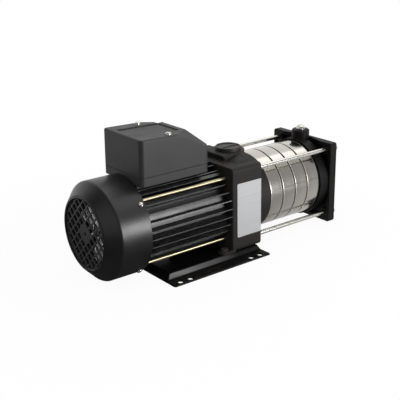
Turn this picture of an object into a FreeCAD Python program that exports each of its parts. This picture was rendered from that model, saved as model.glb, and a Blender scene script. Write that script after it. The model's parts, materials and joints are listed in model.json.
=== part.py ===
"""Light horizontal multistage booster pump with a close-coupled electric motor.

Millimetres. The origin is the centre of the base plate's bolt pattern, on the floor. +X points along the
shaft from the fan to the suction port, +Y to the side away from the rating plate, and +Z up.
"""
import FreeCAD
import Part
import math
import os

Vector = FreeCAD.Vector
ALONG_X = Vector(1, 0, 0)
ALONG_Y = Vector(0, 1, 0)
UP = Vector(0, 0, 1)

# Fits shared by every piece
seat_gap = 0.05            # radial clearance between round parts that seat in each other and stay
race_gap = 0.03            # clearance between a bearing's balls and its outer race
lift_gap = 0.06            # radial clearance of a plug that is drawn out of its hole
seal_face_gap = 0.05       # axial clearance between the two faces of the shaft seal
neck_gap = 0.3             # radial clearance between an impeller's neck and its wear ring
air_gap = 0.4              # radial clearance between rotor and stator
overlap = 1.0              # how far a fused or cut solid reaches into or past its neighbour

# Whole pump
shaft_height = 75.0

# Base plate, a pressed sheet with a raised deck between two flanges
base_length = 184.8
base_half_width = 98.0
base_sheet = 2.0
deck_height = 6.5
deck_half_width = 66.0
deck_slope_run = 8.0
deck_end_inset = 14.0
base_corner_radius = 3.0
deck_bend_radius = 3.0
base_hole_radius = 4.2
base_hole_inset = 8.0
base_hole_from_end = 15.4
base_hole_spacing = 18.0

# Discharge head, which also closes the motor
head_start = 42.0
head_length = 58.0
head_half = 67.0
head_corner_radius = 6.5
head_edge_radius = 1.8
head_spigot_length = 23.5
motor_wall = 20.0
discharge_cavity_radius = 50.0
port_radius = 15.15
port_thread_length = 18.0
port_mouth_radius = 17.2
port_mouth_depth = 4.0
port_passage_radius = 12.0
discharge_boss_radius = 26.0
discharge_boss_top = 150.5
discharge_pad_half_width = 26.0
discharge_pad_setback = 15.5
discharge_pad_flange = 4.0
discharge_pad_overhang = 3.0
discharge_x_from_head = 46.5
shoulder_rib_half_width = 55.0
shoulder_rib_depth = 12.0
foot_ear_length = 20.0
foot_ear_height = 4.0
foot_ear_inner_y = 51.0
foot_bolt_y = 59.0
foot_bolt_from_head = 10.5

# Cap over the discharge port
cap_radius = 20.2
cap_thickness = 5.9
cap_rim = 3.0
cap_dish_depth = 1.3
cap_skirt_wall = 1.6
cap_skirt_depth = 3.0
cap_grip_width = 5.0

# Rating plate, left bare
plate_width = 48.0
plate_height = 87.0
plate_thickness = 0.5
plate_from_head = 9.0
plate_bottom = 29.5

# Stages
stage_count = 4
stage_pitch = 27.0
chamber_radius = 62.6
chamber_wall = 1.6
groove_width = 2.0
groove_depth = 0.4
chamber_rim_radius = 1.2
nest_length = 3.0
end_wall = 1.6
eye_hole_radius = 21.0
neck_ring_lip = 2.5
neck_ring_lip_thickness = 0.8
diffuser_radius = 56.0
diffuser_thickness = 1.6
diffuser_vane_height = 6.0
diffuser_vane_count = 8
impeller_radius = 47.0
impeller_disc = 1.5
impeller_channel = 5.0
impeller_vane_count = 6
impeller_from_diffuser = 1.4
impeller_neck_radius = 17.0
impeller_neck_wall = 1.5
hub_radius = 10.0
spacer_radius = 8.6
vane_thickness = 1.6
vane_steps = 5
diffuser_vane_sweep = 42.0
impeller_vane_sweep = 62.0

# Suction casing with its square end plate
casing_length = 19.8
casing_radius = 65.5
end_plate_thickness = 14.4
end_plate_half = 68.6
end_plate_drop = 0.9
end_plate_corner_radius = 4.0
end_plate_edge_radius = 1.5
end_plate_rim = 6.0
end_plate_pocket_depth = 8.0
end_plate_relief_outer = 48.0
end_plate_relief_inner = 11.0
suction_cavity_radius = 45.0
suction_face_radius = 27.0
suction_face_height = 2.0
vent_boss_radius = 15.0
vent_boss_top = 155.7
vent_boss_chamfer = 2.0
priming_hole_radius = 5.0
drain_plug_radius = 6.0
drain_plug_length = 9.0
drain_socket_across = 5.0

# Priming plug
plug_across_flats = 13.0
plug_head_height = 5.5
plug_flange_radius = 7.6
plug_flange_height = 1.6
plug_shank_length = 12.0
plug_slot_width = 1.6
plug_slot_depth = 1.2

# Pump tie rods, which clamp the stages between head and end plate
pump_rod_radius = 3.6
pump_rod_offset = 55.3
pump_rod_in_head = 18.0
pump_rod_tail = 2.5
pump_nut_across = 13.0
pump_nut_height = 6.5
pump_washer_radius = 8.0
pump_washer_thickness = 1.6

# Motor housing, a finned extrusion
housing_length = 154.0
housing_root_radius = 52.0
housing_fin_radius = 67.5
housing_bore_radius = 47.5
fin_count_round = 32
first_fin_angle = 3.3
fins_below = 7
fins_above = 7
fin_root_thickness = 2.6
fin_tip_thickness = 1.5
short_fin_radius = 63.0
short_fin_zone = 5.0
ledge_angle = 54.0
ledge_thickness = 5.0
box_pad_half_width = 28.0
box_pad_inset = 6.0
motor_foot_half_width = 20.0
motor_foot_length = 30.0
motor_foot_from_rim = 36.0
wire_hole_radius = 7.0
wire_hole_from_pad_end = 9.0

# Motor tie rods
motor_rod_radius = 2.5
motor_rod_offset = 48.6
motor_rod_in_head = 10.0
motor_nut_across = 8.0
motor_nut_height = 4.0
motor_rod_tail = 1.5

# Rear end shield
shield_thickness = 4.0
shield_rim_length = 12.0
shield_rim_radius = 64.0
shield_rim_wall = 4.0
shield_lug_radius = 7.0
shield_lug_setback = 2.0
shield_hub_wall = 4.0
shield_rib_count = 8
shield_rib_thickness = 3.0
register_length = 6.0
register_wall = 4.0

# Fan cover
cover_radius = 74.8
cover_wall = 1.4
cover_barrel_length = 50.0
cover_nose_length = 17.4
cover_face_radius = 57.0
cover_edge_radius = 6.0
grille_radius = 51.4
grille_setback = 1.6
grille_thickness = 2.0
grille_pitch = 11.9
grille_bar = 2.1
grille_bead_radius = 1.3
grille_bead_offset = 2.4
grille_hub_radius = 14.0
grille_hub_hole = 3.2
cover_screw_setback = 7.0
cover_screw_angle = 39.0
cover_screw_radius = 2.0
cover_screw_head_radius = 4.0
cover_screw_head_height = 2.6
cover_screw_length = 9.0

# Cooling fan
fan_radius = 60.0
fan_hub_radius = 14.0
fan_disc = 1.6
fan_blade_count = 9
fan_blade_length = 26.0
fan_blade_thickness = 1.8
fan_from_shield = 6.0
fan_clip_thickness = 1.2
fan_clip_width = 2.5

# Shaft and bearings
shaft_radius = 7.5
pump_shaft_radius = 6.0
bearing_outer_radius = 17.5
bearing_width = 11.0
bearing_race = 3.0
ball_radius = 2.4
ball_count = 7
front_bearing_setback = 1.0
shaft_past_fan = 3.0
shaft_hole_gap = 0.8

# Stator and rotor
stator_inner_radius = 28.0
stator_length = 62.0
stator_from_head = 58.0
winding_length = 17.0
winding_inner_radius = 31.0
winding_outer_gap = 4.5
winding_chamfer = 3.0
slot_count = 24
slot_depth = 9.0
slot_width = 3.2
rotor_ring_length = 7.0
rotor_ring_width = 9.0

# Shaft seal
seal_seat_radius = 12.5
seal_seat_length = 6.0
seal_pocket_depth = 6.0
seal_boot_wall = 1.0
seal_head_radius = 11.0
seal_face_length = 4.0
seal_body_length = 13.0

# Shaft end nut
shaft_nut_across = 19.0
shaft_nut_height = 7.0
shaft_end_tail = 1.5

# Terminal box
box_from_rim = 1.7
box_length = 121.3
box_half_width = 49.5
box_floor_height = 141.5
box_base_height = 12.5
box_height = 68.5
box_wall = 2.5
box_floor = 3.0
box_corner_radius = 6.0
box_edge_radius = 2.5
box_top_fall = 3.0
box_end_draft = 1.0
box_slope_start = 93.5
box_slope_end_height = 41.5
box_hip_start = 62.0
box_hip_half_width = 29.0
box_hip_low_height = 37.0
box_notch_from_slope = 10.0
box_notch_width = 10.0
box_notch_depth = 2.2
box_gasket = 1.0
box_gasket_inset = 0.8
box_panel_margin = 9.0
box_panel_half_width = 27.0
box_panel_depth = 1.5
box_screw_x = 55.7
box_screw_from_side = 10.0
box_screw_radius = 2.0
box_screw_head_radius = 4.8
box_screw_head_height = 3.4
box_screw_seat_radius = 6.0
box_screw_seat_depth = 0.5
box_post_radius = 4.6
box_screw_bite = 8.0

# What the terminal box holds
capacitor_radius = 17.5
capacitor_length = 68.0
capacitor_from_wall = 6.0
capacitor_from_side = 34.0
capacitor_tab = 6.0
strap_width = 6.0
strap_thickness = 1.2
strap_foot = 7.0
block_length = 34.0
block_width = 16.0
block_height = 14.0
block_from_side = 24.0
block_from_wall = 8.0
block_ways = 4

# Cable gland on the rear wall of the box
gland_from_rim = 28.0
gland_height = 33.0
gland_hole_radius = 8.0
gland_bore_radius = 5.0
gland_across = 22.0
gland_flange = 5.0
gland_cap_length = 11.0
gland_cap_radius = 10.0
gland_nut_thickness = 4.0
gland_thread_length = 8.0

# Base fasteners
base_bolt_radius = 3.0
base_bolt_across = 10.0
base_bolt_head_height = 4.0
base_nut_height = 3.2

# Places that follow from the sizes
head_end = head_start + head_length
stage_start = head_end + head_spigot_length
casing_start = stage_start + stage_count * stage_pitch
plate_start = casing_start + casing_length
plate_end = plate_start + end_plate_thickness
housing_start = head_start - housing_length
cover_nose_start = housing_start - cover_barrel_length
cover_front = cover_nose_start - cover_nose_length
head_top = shaft_height + head_half
head_bottom = deck_height
discharge_x = head_start + discharge_x_from_head
vent_x = casing_start + (casing_length + end_plate_thickness) / 2
box_start = housing_start + box_from_rim
box_end = box_start + box_length
capacitor_y = box_half_width - capacitor_from_side
block_y = block_from_side - box_half_width
box_split = box_floor_height + box_base_height
box_cover_bottom = box_split + box_gasket
box_top = box_floor_height + box_height
stator_end = head_start - stator_from_head
stator_start = stator_end - stator_length
shield_front = housing_start - shield_rim_length
rear_bearing_start = shield_front + 1.0
front_bearing_start = head_start + front_bearing_setback
fan_back = shield_front - fan_from_shield
fan_front = fan_back - fan_blade_length
parts_folder = "parts"


def save(name, shape):
    """Write one sub-part to its own STEP file."""
    shape.exportStep(os.path.join(parts_folder, name + ".step"))


def box(x_low, x_high, y_low, y_high, z_low, z_high):
    """A block between two corners."""
    size = (x_high - x_low, y_high - y_low, z_high - z_low)
    return Part.makeBox(size[0], size[1], size[2], Vector(x_low, y_low, z_low))


def bar_x(x_low, x_high, radius, y=0.0, z=None):
    """A round bar along X, on the shaft axis unless y and z say otherwise."""
    height = shaft_height if z is None else z
    return Part.makeCylinder(radius, x_high - x_low, Vector(x_low, y, height), ALONG_X)


def bar_y(y_low, y_high, radius, x, z):
    """A round bar along Y."""
    return Part.makeCylinder(radius, y_high - y_low, Vector(x, y_low, z), ALONG_Y)


def bar_z(z_low, z_high, radius, x, y=0.0):
    """A round bar along Z."""
    return Part.makeCylinder(radius, z_high - z_low, Vector(x, y, z_low), UP)


def ring_x(x_low, x_high, inner, outer):
    """A ring about the shaft axis."""
    return turned([(x_low, inner), (x_high, inner), (x_high, outer), (x_low, outer)])


def turned(profile):
    """Revolve a closed profile of (x, radius) points about the shaft axis."""
    corners = [Vector(x, 0, shaft_height + radius) for x, radius in profile]
    face = Part.Face(Part.makePolygon(corners + [corners[0]]))
    return face.revolve(Vector(0, 0, shaft_height), ALONG_X, 360)


def prism(corners, direction):
    """Extrude a closed polygon of Vectors along a direction."""
    return Part.Face(Part.makePolygon(corners + [corners[0]])).extrude(direction)


def hexagon(centre, axis, across, height):
    """A hexagonal prism across its flats, starting at centre and running along axis."""
    side = Vector(0, 0, 1) if abs(axis.z) < 0.5 else Vector(1, 0, 0)
    other = axis.cross(side)
    reach = across / 2 / math.cos(math.radians(30))
    corners = []
    for step in range(6):
        angle = math.radians(60 * step + 30)
        corners.append(centre + side * (reach * math.cos(angle)) + other * (reach * math.sin(angle)))
    return prism(corners, axis * height)


def edges_where(shape, test):
    """The shape's edges whose middle point and end points pass a test."""
    chosen = []
    for edge in shape.Edges:
        middle = edge.valueAt((edge.FirstParameter + edge.LastParameter) / 2)
        if test(edge, middle):
            chosen.append(edge)
    return chosen


def runs_along(edge, axis):
    """True for a straight edge that is parallel to an axis."""
    if not isinstance(edge.Curve, Part.Line):
        return False
    return abs(edge.Curve.Direction.dot(axis)) > 0.999


def polar(radius, degrees):
    """Y and Z of a point about the shaft: 0 degrees faces -Y and 90 degrees points up."""
    angle = math.radians(degrees)
    return -radius * math.cos(angle), shaft_height + radius * math.sin(angle)


def four_corners(offset):
    """Y and Z of four places at the corners of a square about the shaft."""
    return [(side * offset, shaft_height + rise * offset) for side in (-1, 1) for rise in (-1, 1)]


def joined(shapes):
    """Fuse a list of solids into one, without leftover seams."""
    return shapes[0].fuse(shapes[1:]).removeSplitter()


def without(shape, tools):
    """Cut a list of solids out of a shape."""
    return shape.cut(tools)


def base_plate():
    """Pressed sheet: raised deck with sloped sides and one sloped end, two flanges with round holes."""
    sheet = box(-base_length / 2, base_length / 2, -base_half_width, base_half_width, 0, base_sheet)
    corners = edges_where(sheet, lambda edge, middle: runs_along(edge, UP))
    sheet = sheet.makeFillet(base_corner_radius, corners)
    sheet = joined([sheet, raised_deck(0.0, deck_height)])
    rise = deck_height - base_sheet
    inset = base_sheet * (math.hypot(rise, deck_slope_run) - deck_slope_run) / rise
    sheet = without(sheet, [raised_deck(inset + deck_slope_run * base_sheet / rise, rise)])
    holes = []
    outer_hole_x = base_length / 2 - base_hole_from_end
    inner_hole_x = outer_hole_x - base_hole_spacing
    base_hole_y = base_half_width - base_hole_inset
    for x in (-outer_hole_x, -inner_hole_x, inner_hole_x, outer_hole_x):
        for y in (-base_hole_y, base_hole_y):
            holes.append(bar_z(-overlap, base_sheet + overlap, base_hole_radius, x, y))
    for x, y in base_bolt_places():
        holes.append(bar_z(0, deck_height + overlap, base_bolt_radius + seat_gap, x, y))
    return without(sheet, holes)


def raised_deck(inset, top):
    """The deck's block, drawn in by an inset: sloped sides, a sloped fan end and a square head end."""
    slope = deck_slope_run / (deck_height - base_sheet)
    side = deck_half_width + slope * (deck_height - top) - inset
    below = side + slope * top
    along = -base_length / 2 + deck_end_inset - slope * (deck_height - top) + inset
    front = along - slope * top
    far = base_length / 2
    across = prism([Vector(front, -below, 0), Vector(front, -side, top), Vector(front, side, top),
                    Vector(front, below, 0)], ALONG_X * (far - front))
    length = prism([Vector(front, -below, 0), Vector(along, -below, top), Vector(far, -below, top),
                    Vector(far, -below, 0)], ALONG_Y * (2 * below))
    block = across.common(length)
    upper = edges_where(block, lambda edge, middle: middle.z > top - 0.01 and middle.x < far - 0.01)
    return block.makeFillet(deck_bend_radius, upper)


def base_bolt_places():
    """Where the deck is bolted to the head's ears and to the motor's foot."""
    ear_x = head_start - foot_bolt_from_head
    foot_x = housing_start + motor_foot_from_rim + motor_foot_length / 2
    return [(ear_x, -foot_bolt_y), (ear_x, foot_bolt_y), (foot_x, -motor_foot_half_width / 2),
            (foot_x, motor_foot_half_width / 2)]


def base_bolts():
    """Hexagon-head bolts that go down through the ears and the foot into nuts under the deck."""
    bolts = []
    for index, (x, y) in enumerate(base_bolt_places()):
        grip = foot_ear_height if index < 2 else 0.0
        seat = deck_height + grip
        if index < 2:
            head = hexagon(Vector(x, y, seat), UP, base_bolt_across, base_bolt_head_height)
            end = deck_height - base_sheet - base_nut_height
            bolts.append(joined([head, bar_z(end, seat + overlap, base_bolt_radius, x, y)]))
        else:
            low = deck_height - base_sheet - base_bolt_head_height
            head = hexagon(Vector(x, y, low), UP, base_bolt_across, base_bolt_head_height)
            bolts.append(joined([head, bar_z(low + overlap, foot_bolt_tip(), base_bolt_radius, x, y)]))
    return Part.makeCompound(bolts)


def foot_bolt_tip():
    """Height to which the rear bolts reach into the motor's foot."""
    return deck_height + 8.0


def base_nuts():
    """Nuts under the deck for the two ear bolts."""
    nuts = []
    for x, y in base_bolt_places()[:2]:
        low = deck_height - base_sheet - base_nut_height
        body = hexagon(Vector(x, y, low), UP, base_bolt_across, base_nut_height)
        body.rotate(Vector(x, y, low), UP, 30)
        nuts.append(without(body, [bar_z(0, deck_height, base_bolt_radius + seat_gap, x, y)]))
    return Part.makeCompound(nuts)


def discharge_head():
    """Cast head: square body, round spigot for the stages, port boss on top and two foot ears."""
    body = box(head_start, head_end, -head_half, head_half, head_bottom, head_top)
    long_edges = edges_where(body, lambda edge, middle: runs_along(edge, ALONG_X))
    body = body.makeFillet(head_corner_radius, long_edges)
    fronts = edges_where(body, lambda edge, middle: abs(middle.x - head_start) < 0.01)
    body = body.makeFillet(head_edge_radius, fronts)
    backs = edges_where(body, lambda edge, middle: abs(middle.x - head_end) < 0.01)
    body = body.makeFillet(head_edge_radius / 2, backs)
    spigot = bar_x(head_end - overlap, stage_start, chamber_radius)
    boss_base = head_top - head_corner_radius
    pad_start = head_start + discharge_pad_setback
    pad_low = discharge_boss_top - discharge_pad_flange
    pad_half = discharge_pad_half_width
    neck = box(pad_start + discharge_pad_overhang, discharge_x, -pad_half, pad_half, boss_base, pad_low)
    pad = box(pad_start, discharge_x, -pad_half, pad_half, pad_low, discharge_boss_top)
    pad = pad.makeFillet(1.5, edges_where(pad, lambda edge, middle: abs(middle.x - pad_start) < 0.01))
    boss = bar_z(boss_base, discharge_boss_top, discharge_boss_radius, discharge_x)
    rib_top = discharge_boss_top - 1.0
    rib = prism([
        Vector(head_end - shoulder_rib_depth, -shoulder_rib_half_width, head_top - overlap),
        Vector(head_end - shoulder_rib_depth, -discharge_pad_half_width, rib_top),
        Vector(head_end - shoulder_rib_depth, discharge_pad_half_width, rib_top),
        Vector(head_end - shoulder_rib_depth, shoulder_rib_half_width, head_top - overlap),
    ], ALONG_X * shoulder_rib_depth)
    ears = []
    for side in (-1, 1):
        low_y = min(side * foot_ear_inner_y, side * head_half)
        high_y = max(side * foot_ear_inner_y, side * head_half)
        ear = box(head_start - foot_ear_length, head_start + head_corner_radius, low_y, high_y,
                  head_bottom, head_bottom + foot_ear_height)
        outer = edges_where(ear, lambda edge, middle: runs_along(edge, UP) and middle.x < head_start)
        ears.append(ear.makeFillet(5.0, outer))
    bearing_hub = bar_x(head_start - register_length, head_start + overlap, housing_bore_radius - seat_gap)
    hub_hollow = ring_x(head_start - register_length - overlap, head_start - overlap,
                        bearing_outer_radius + shield_hub_wall, housing_bore_radius - register_wall)
    solid = joined([body, spigot, neck, pad, boss, rib, bearing_hub] + ears)
    wall_end = head_start + motor_wall
    cavity = turned([
        (wall_end, 0), (wall_end, discharge_cavity_radius - 6), (wall_end + 6, discharge_cavity_radius),
        (stage_start - nest_length - 2.0, discharge_cavity_radius),
        (stage_start - nest_length - 2.0, chamber_radius - chamber_wall),
        (stage_start + overlap, chamber_radius - chamber_wall), (stage_start + overlap, 0),
    ])
    bearing_seat = bar_x(head_start - register_length - overlap, front_bearing_start + bearing_width,
                         bearing_outer_radius + seat_gap)
    shaft_hole = bar_x(head_start, wall_end + overlap, shaft_radius + shaft_hole_gap)
    seal_pocket = bar_x(wall_end - seal_pocket_depth + 2.0, wall_end + overlap,
                        seal_seat_radius + seal_boot_wall)
    mouth_low = discharge_boss_top - port_mouth_depth
    port_low = mouth_low - port_thread_length
    passage_low = shaft_height + discharge_cavity_radius - 8
    cuts = [
        cavity, bearing_seat, shaft_hole, hub_hollow, seal_pocket,
        bar_z(mouth_low, discharge_boss_top + overlap, port_mouth_radius, discharge_x),
        bar_z(port_low, discharge_boss_top, port_radius, discharge_x),
        bar_z(passage_low, port_low + overlap, port_passage_radius, discharge_x),
    ]
    for y, z in four_corners(pump_rod_offset):
        cuts.append(bar_x(head_end - pump_rod_in_head, head_end + overlap,
                          pump_rod_radius + seat_gap, y, z))
    for y, z in four_corners(motor_rod_offset):
        cuts.append(bar_x(head_start - register_length, head_start + motor_rod_in_head,
                          motor_rod_radius + seat_gap, y, z))
    for x, y in base_bolt_places()[:2]:
        cuts.append(bar_z(0, head_bottom + foot_ear_height + overlap, base_bolt_radius + seat_gap, x, y))
    return without(solid, cuts)


def discharge_cap():
    """Push-in plastic cap: dished disc with a grip bar and a short skirt in the port's mouth."""
    low = discharge_boss_top
    top = low + cap_thickness
    disc = bar_z(low, top, cap_radius, discharge_x)
    rims = edges_where(disc, lambda edge, middle: abs(middle.z - top) < 0.01 and not runs_along(edge, UP))
    disc = disc.makeFillet(1.0, [edge for edge in rims if edge.Length > cap_radius])
    dish = bar_z(top - cap_dish_depth, top + overlap, cap_radius - cap_rim, discharge_x)
    grip = box(discharge_x - cap_radius + cap_rim, discharge_x + cap_radius - cap_rim,
               -cap_grip_width / 2, cap_grip_width / 2, top - cap_dish_depth, top - 0.2)
    inner = port_mouth_radius - lift_gap - cap_skirt_wall
    skirt = bar_z(low - cap_skirt_depth, low + overlap, port_mouth_radius - lift_gap, discharge_x)
    hollow = bar_z(low - cap_skirt_depth - overlap, low + overlap, inner, discharge_x)
    return joined([without(disc, [dish]), grip, without(skirt, [hollow])])


def rating_plate():
    """Thin aluminium plate on the head's front face, left bare, with rounded corners."""
    start = head_start + plate_from_head
    plate = box(start, start + plate_width, -head_half - plate_thickness, -head_half,
                plate_bottom, plate_bottom + plate_height)
    return plate.makeFillet(1.5, edges_where(plate, lambda edge, middle: runs_along(edge, ALONG_Y)))


def stage_chamber(start):
    """Pressed steel stage: barrel, end wall with the eye hole, and a nest that enters its neighbour."""
    wall_in = chamber_radius - chamber_wall
    nest_in = wall_in - seat_gap - chamber_wall
    barrel = turned([
        (start - nest_length, nest_in), (start - nest_length, wall_in - seat_gap),
        (start + groove_width, wall_in - seat_gap), (start + groove_width, chamber_radius),
        (start + stage_pitch, chamber_radius), (start + stage_pitch, wall_in),
        (start + groove_width + end_wall, wall_in), (start + groove_width + end_wall, eye_hole_radius),
        (start + groove_width, eye_hole_radius), (start + groove_width, nest_in),
    ])
    return barrel.makeFillet(chamber_rim_radius, outer_rim(barrel, start + groove_width, chamber_radius))


def outer_rim(shape, x, radius):
    """The full circle of a turned shape at one place along the shaft and of one radius."""
    return edges_where(shape, lambda edge, middle: is_rim(edge) and abs(edge.Curve.Center.x - x) < 0.01
                       and abs(edge.Curve.Radius - radius) < 0.01)


def chamber_gaskets():
    """Square-section rubber rings at the bottom of each groove between stages."""
    rings = []
    inner = chamber_radius - chamber_wall
    for number in range(stage_count + 1):
        start = stage_start + number * stage_pitch
        rings.append(ring_x(start, start + groove_width, inner, chamber_radius - groove_depth))
    return Part.makeCompound(rings)


def neck_rings():
    """Wear rings in the end walls, round the neck of each impeller."""
    rings = []
    for number in range(1, stage_count + 1):
        wall = stage_start + number * stage_pitch + groove_width
        bore = impeller_neck_radius + neck_gap
        rings.append(turned([
            (wall - neck_ring_lip_thickness, bore), (wall + end_wall, bore),
            (wall + end_wall, eye_hole_radius - seat_gap), (wall, eye_hole_radius - seat_gap),
            (wall, eye_hole_radius + neck_ring_lip),
            (wall - neck_ring_lip_thickness, eye_hole_radius + neck_ring_lip),
        ]))
    return Part.makeCompound(rings)


def curved_vane(inner, outer, sweep, x_low, x_high, turn):
    """A vane of even thickness from an inner to an outer radius, swept round by some degrees."""
    near = []
    far = []
    for step in range(vane_steps + 1):
        part = step / vane_steps
        radius = inner + (outer - inner) * part
        angle = math.radians(sweep * part ** 0.8)
        middle = Vector(x_low, radius * math.cos(angle), shaft_height + radius * math.sin(angle))
        across = Vector(0, -math.sin(angle), math.cos(angle)) * (vane_thickness / 2)
        near.append(middle - across)
        far.append(middle + across)
    vane = prism(near + far[::-1], ALONG_X * (x_high - x_low))
    vane.rotate(Vector(0, 0, shaft_height), ALONG_X, turn)
    return vane


def diffuser(start):
    """Guide disc with return vanes between it and the chamber's end wall."""
    wall = start + groove_width + end_wall
    vane_end = wall + diffuser_vane_height
    disc = ring_x(vane_end, vane_end + diffuser_thickness, spacer_radius + neck_gap, diffuser_radius)
    vanes = []
    for number in range(diffuser_vane_count):
        vanes.append(curved_vane(eye_hole_radius + 4, diffuser_radius - 2, diffuser_vane_sweep,
                                 wall, vane_end + 0.5, 360 * number / diffuser_vane_count))
    return joined([disc] + vanes)


def impeller_start(start):
    """Where a stage's impeller begins along the shaft."""
    diffuser_end = start + groove_width + end_wall + diffuser_vane_height + diffuser_thickness
    return diffuser_end + impeller_from_diffuser


def impeller(start):
    """Closed impeller: hub, back disc, swept vanes, front disc and a neck that faces the suction side."""
    back = impeller_start(start)
    channel = back + impeller_disc
    front = channel + impeller_channel
    neck_end = start + stage_pitch + groove_width + end_wall
    hub = ring_x(back, front + impeller_disc, pump_shaft_radius + seat_gap, hub_radius)
    back_disc = ring_x(back, channel, hub_radius - overlap, impeller_radius)
    eye = impeller_neck_radius - impeller_neck_wall
    front_disc = turned([
        (front, eye), (neck_end, eye), (neck_end, impeller_neck_radius),
        (front + impeller_disc, impeller_neck_radius), (front + impeller_disc, impeller_radius),
        (front, impeller_radius),
    ])
    vanes = []
    for number in range(impeller_vane_count):
        vanes.append(curved_vane(eye + 1, impeller_radius - 1.5, -impeller_vane_sweep,
                                 channel - 0.4, front + 0.4, 360 * number / impeller_vane_count))
    return joined([hub, back_disc, front_disc] + vanes)


def impeller_spacers():
    """Sleeves on the shaft between the seal head, the impellers and the end nut."""
    sleeves = []
    hub_length = impeller_channel + 2 * impeller_disc
    previous = seal_head_end()
    for number in range(stage_count):
        start = impeller_start(stage_start + number * stage_pitch)
        sleeves.append(ring_x(previous, start, pump_shaft_radius + seat_gap, spacer_radius))
        previous = start + hub_length
    return Part.makeCompound(sleeves)


def seal_head_end():
    """Where the rotating seal head ends along the shaft."""
    return head_start + motor_wall + 2.0 + seal_face_gap + seal_face_length + seal_body_length


def last_hub_end():
    """Where the last impeller's hub ends along the shaft."""
    last = impeller_start(stage_start + (stage_count - 1) * stage_pitch)
    return last + impeller_channel + 2 * impeller_disc


def shaft():
    """Stepped shaft from the fan to the end nut."""
    end = last_hub_end() + shaft_nut_height + shaft_end_tail
    step = seal_head_end() - seal_body_length
    start = fan_front - shaft_past_fan
    profile = [
        (start, 0), (start, shaft_radius - 0.8), (start + 0.8, shaft_radius), (step, shaft_radius),
        (step, pump_shaft_radius), (end - 0.8, pump_shaft_radius), (end, pump_shaft_radius - 0.8), (end, 0),
    ]
    clip_start = fan_front - fan_clip_thickness
    groove = ring_x(clip_start, fan_front, shaft_radius - 0.7, shaft_radius + overlap)
    return without(turned(profile), [groove])


def fan_clip():
    """Open retaining ring in the groove in front of the fan."""
    clip_start = fan_front - fan_clip_thickness
    ring = ring_x(clip_start, fan_front - 0.02, shaft_radius - 0.65, shaft_radius + fan_clip_width)
    opening = box(clip_start - overlap, fan_front + overlap, -3.0, 3.0,
                  shaft_height, shaft_height + shaft_radius + fan_clip_width + overlap)
    return without(ring, [opening])


def shaft_nut():
    """Nut that clamps the impellers on the shaft."""
    start = last_hub_end()
    body = hexagon(Vector(start, 0, shaft_height), ALONG_X, shaft_nut_across, shaft_nut_height)
    hole = bar_x(start - overlap, start + shaft_nut_height + overlap, pump_shaft_radius + seat_gap)
    return without(body, [hole])


def seal_seat():
    """Fixed ceramic ring in the head's wall."""
    end = head_start + motor_wall + 2.0
    return ring_x(end - seal_seat_length, end, shaft_radius + shaft_hole_gap, seal_seat_radius)


def seal_seat_boot():
    """Rubber cup that holds the fixed ring in its pocket."""
    pocket = head_start + motor_wall - seal_pocket_depth + 2.0
    end = pocket + seal_pocket_depth - 2.0
    return ring_x(pocket, end, seal_seat_radius, seal_seat_radius + seal_boot_wall - seat_gap)


def seal_head():
    """Rotating half of the shaft seal: carbon face in front of its steel body."""
    start = head_start + motor_wall + 2.0 + seal_face_gap
    step = start + seal_face_length
    end = seal_head_end()
    bore = pump_shaft_radius + seat_gap
    return turned([
        (start, shaft_radius + seat_gap), (start, seal_head_radius - 1.5), (step, seal_head_radius - 1.5),
        (step, seal_head_radius), (end, seal_head_radius), (end, bore), (step, bore),
        (step, shaft_radius + seat_gap),
    ])


def bearing(start):
    """Outer ring, inner ring and balls of one deep-groove bearing."""
    middle = start + bearing_width / 2
    pitch = (bearing_outer_radius + shaft_radius) / 2
    end = start + bearing_width
    race = ball_radius + race_gap
    groove = Part.makeTorus(pitch, race, Vector(middle, 0, shaft_height), ALONG_X)
    outer = without(ring_x(start, end, bearing_outer_radius - bearing_race, bearing_outer_radius), [groove])
    inner = ring_x(start, end, shaft_radius + seat_gap, shaft_radius + bearing_race)
    inner = without(inner, [Part.makeTorus(pitch, ball_radius, Vector(middle, 0, shaft_height), ALONG_X)])
    balls = []
    for number in range(ball_count):
        y, z = polar(pitch, 360 * number / ball_count)
        balls.append(Part.makeSphere(ball_radius, Vector(middle, y, z)))
    return outer, inner, Part.makeCompound(balls)


def stator_core():
    """Slotted lamination pack."""
    core = ring_x(stator_start, stator_end, stator_inner_radius, housing_bore_radius - seat_gap)
    slots = []
    reach = slot_depth + overlap
    for number in range(slot_count):
        slot = box(stator_start - overlap, stator_end + overlap, -slot_width / 2, slot_width / 2,
                   shaft_height + stator_inner_radius - overlap, shaft_height + stator_inner_radius + reach)
        slot.rotate(Vector(0, 0, shaft_height), ALONG_X, 360 * number / slot_count)
        slots.append(slot)
    return without(core, slots)


def stator_windings():
    """Copper end windings on both sides of the lamination pack."""
    outer = housing_bore_radius - winding_outer_gap
    ends = []
    for low in (stator_start - winding_length, stator_end):
        end = ring_x(low, low + winding_length, winding_inner_radius, outer)
        ends.append(end.makeChamfer(winding_chamfer, edges_where(end, lambda edge, middle: is_rim(edge))))
    return Part.makeCompound(ends)


def is_rim(edge):
    """True for a full circle."""
    return isinstance(edge.Curve, Part.Circle) and edge.isClosed()


def rotor_core():
    """Rotor lamination pack with a short-circuit ring at each end."""
    outer = stator_inner_radius - air_gap
    bore = shaft_radius + seat_gap
    inset = outer - rotor_ring_width
    return turned([
        (stator_start - rotor_ring_length, inset), (stator_start - rotor_ring_length, outer - 1.0),
        (stator_start, outer - 1.0), (stator_start, outer), (stator_end, outer), (stator_end, outer - 1.0),
        (stator_end + rotor_ring_length, outer - 1.0), (stator_end + rotor_ring_length, inset),
        (stator_end, inset), (stator_end, bore), (stator_start, bore), (stator_start, inset),
    ])


def fin_angles():
    """Angles of the fins on the front half of the housing."""
    pitch = 360.0 / fin_count_round
    return [first_fin_angle + pitch * step for step in range(-fins_below, fins_above + 1)]


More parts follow.
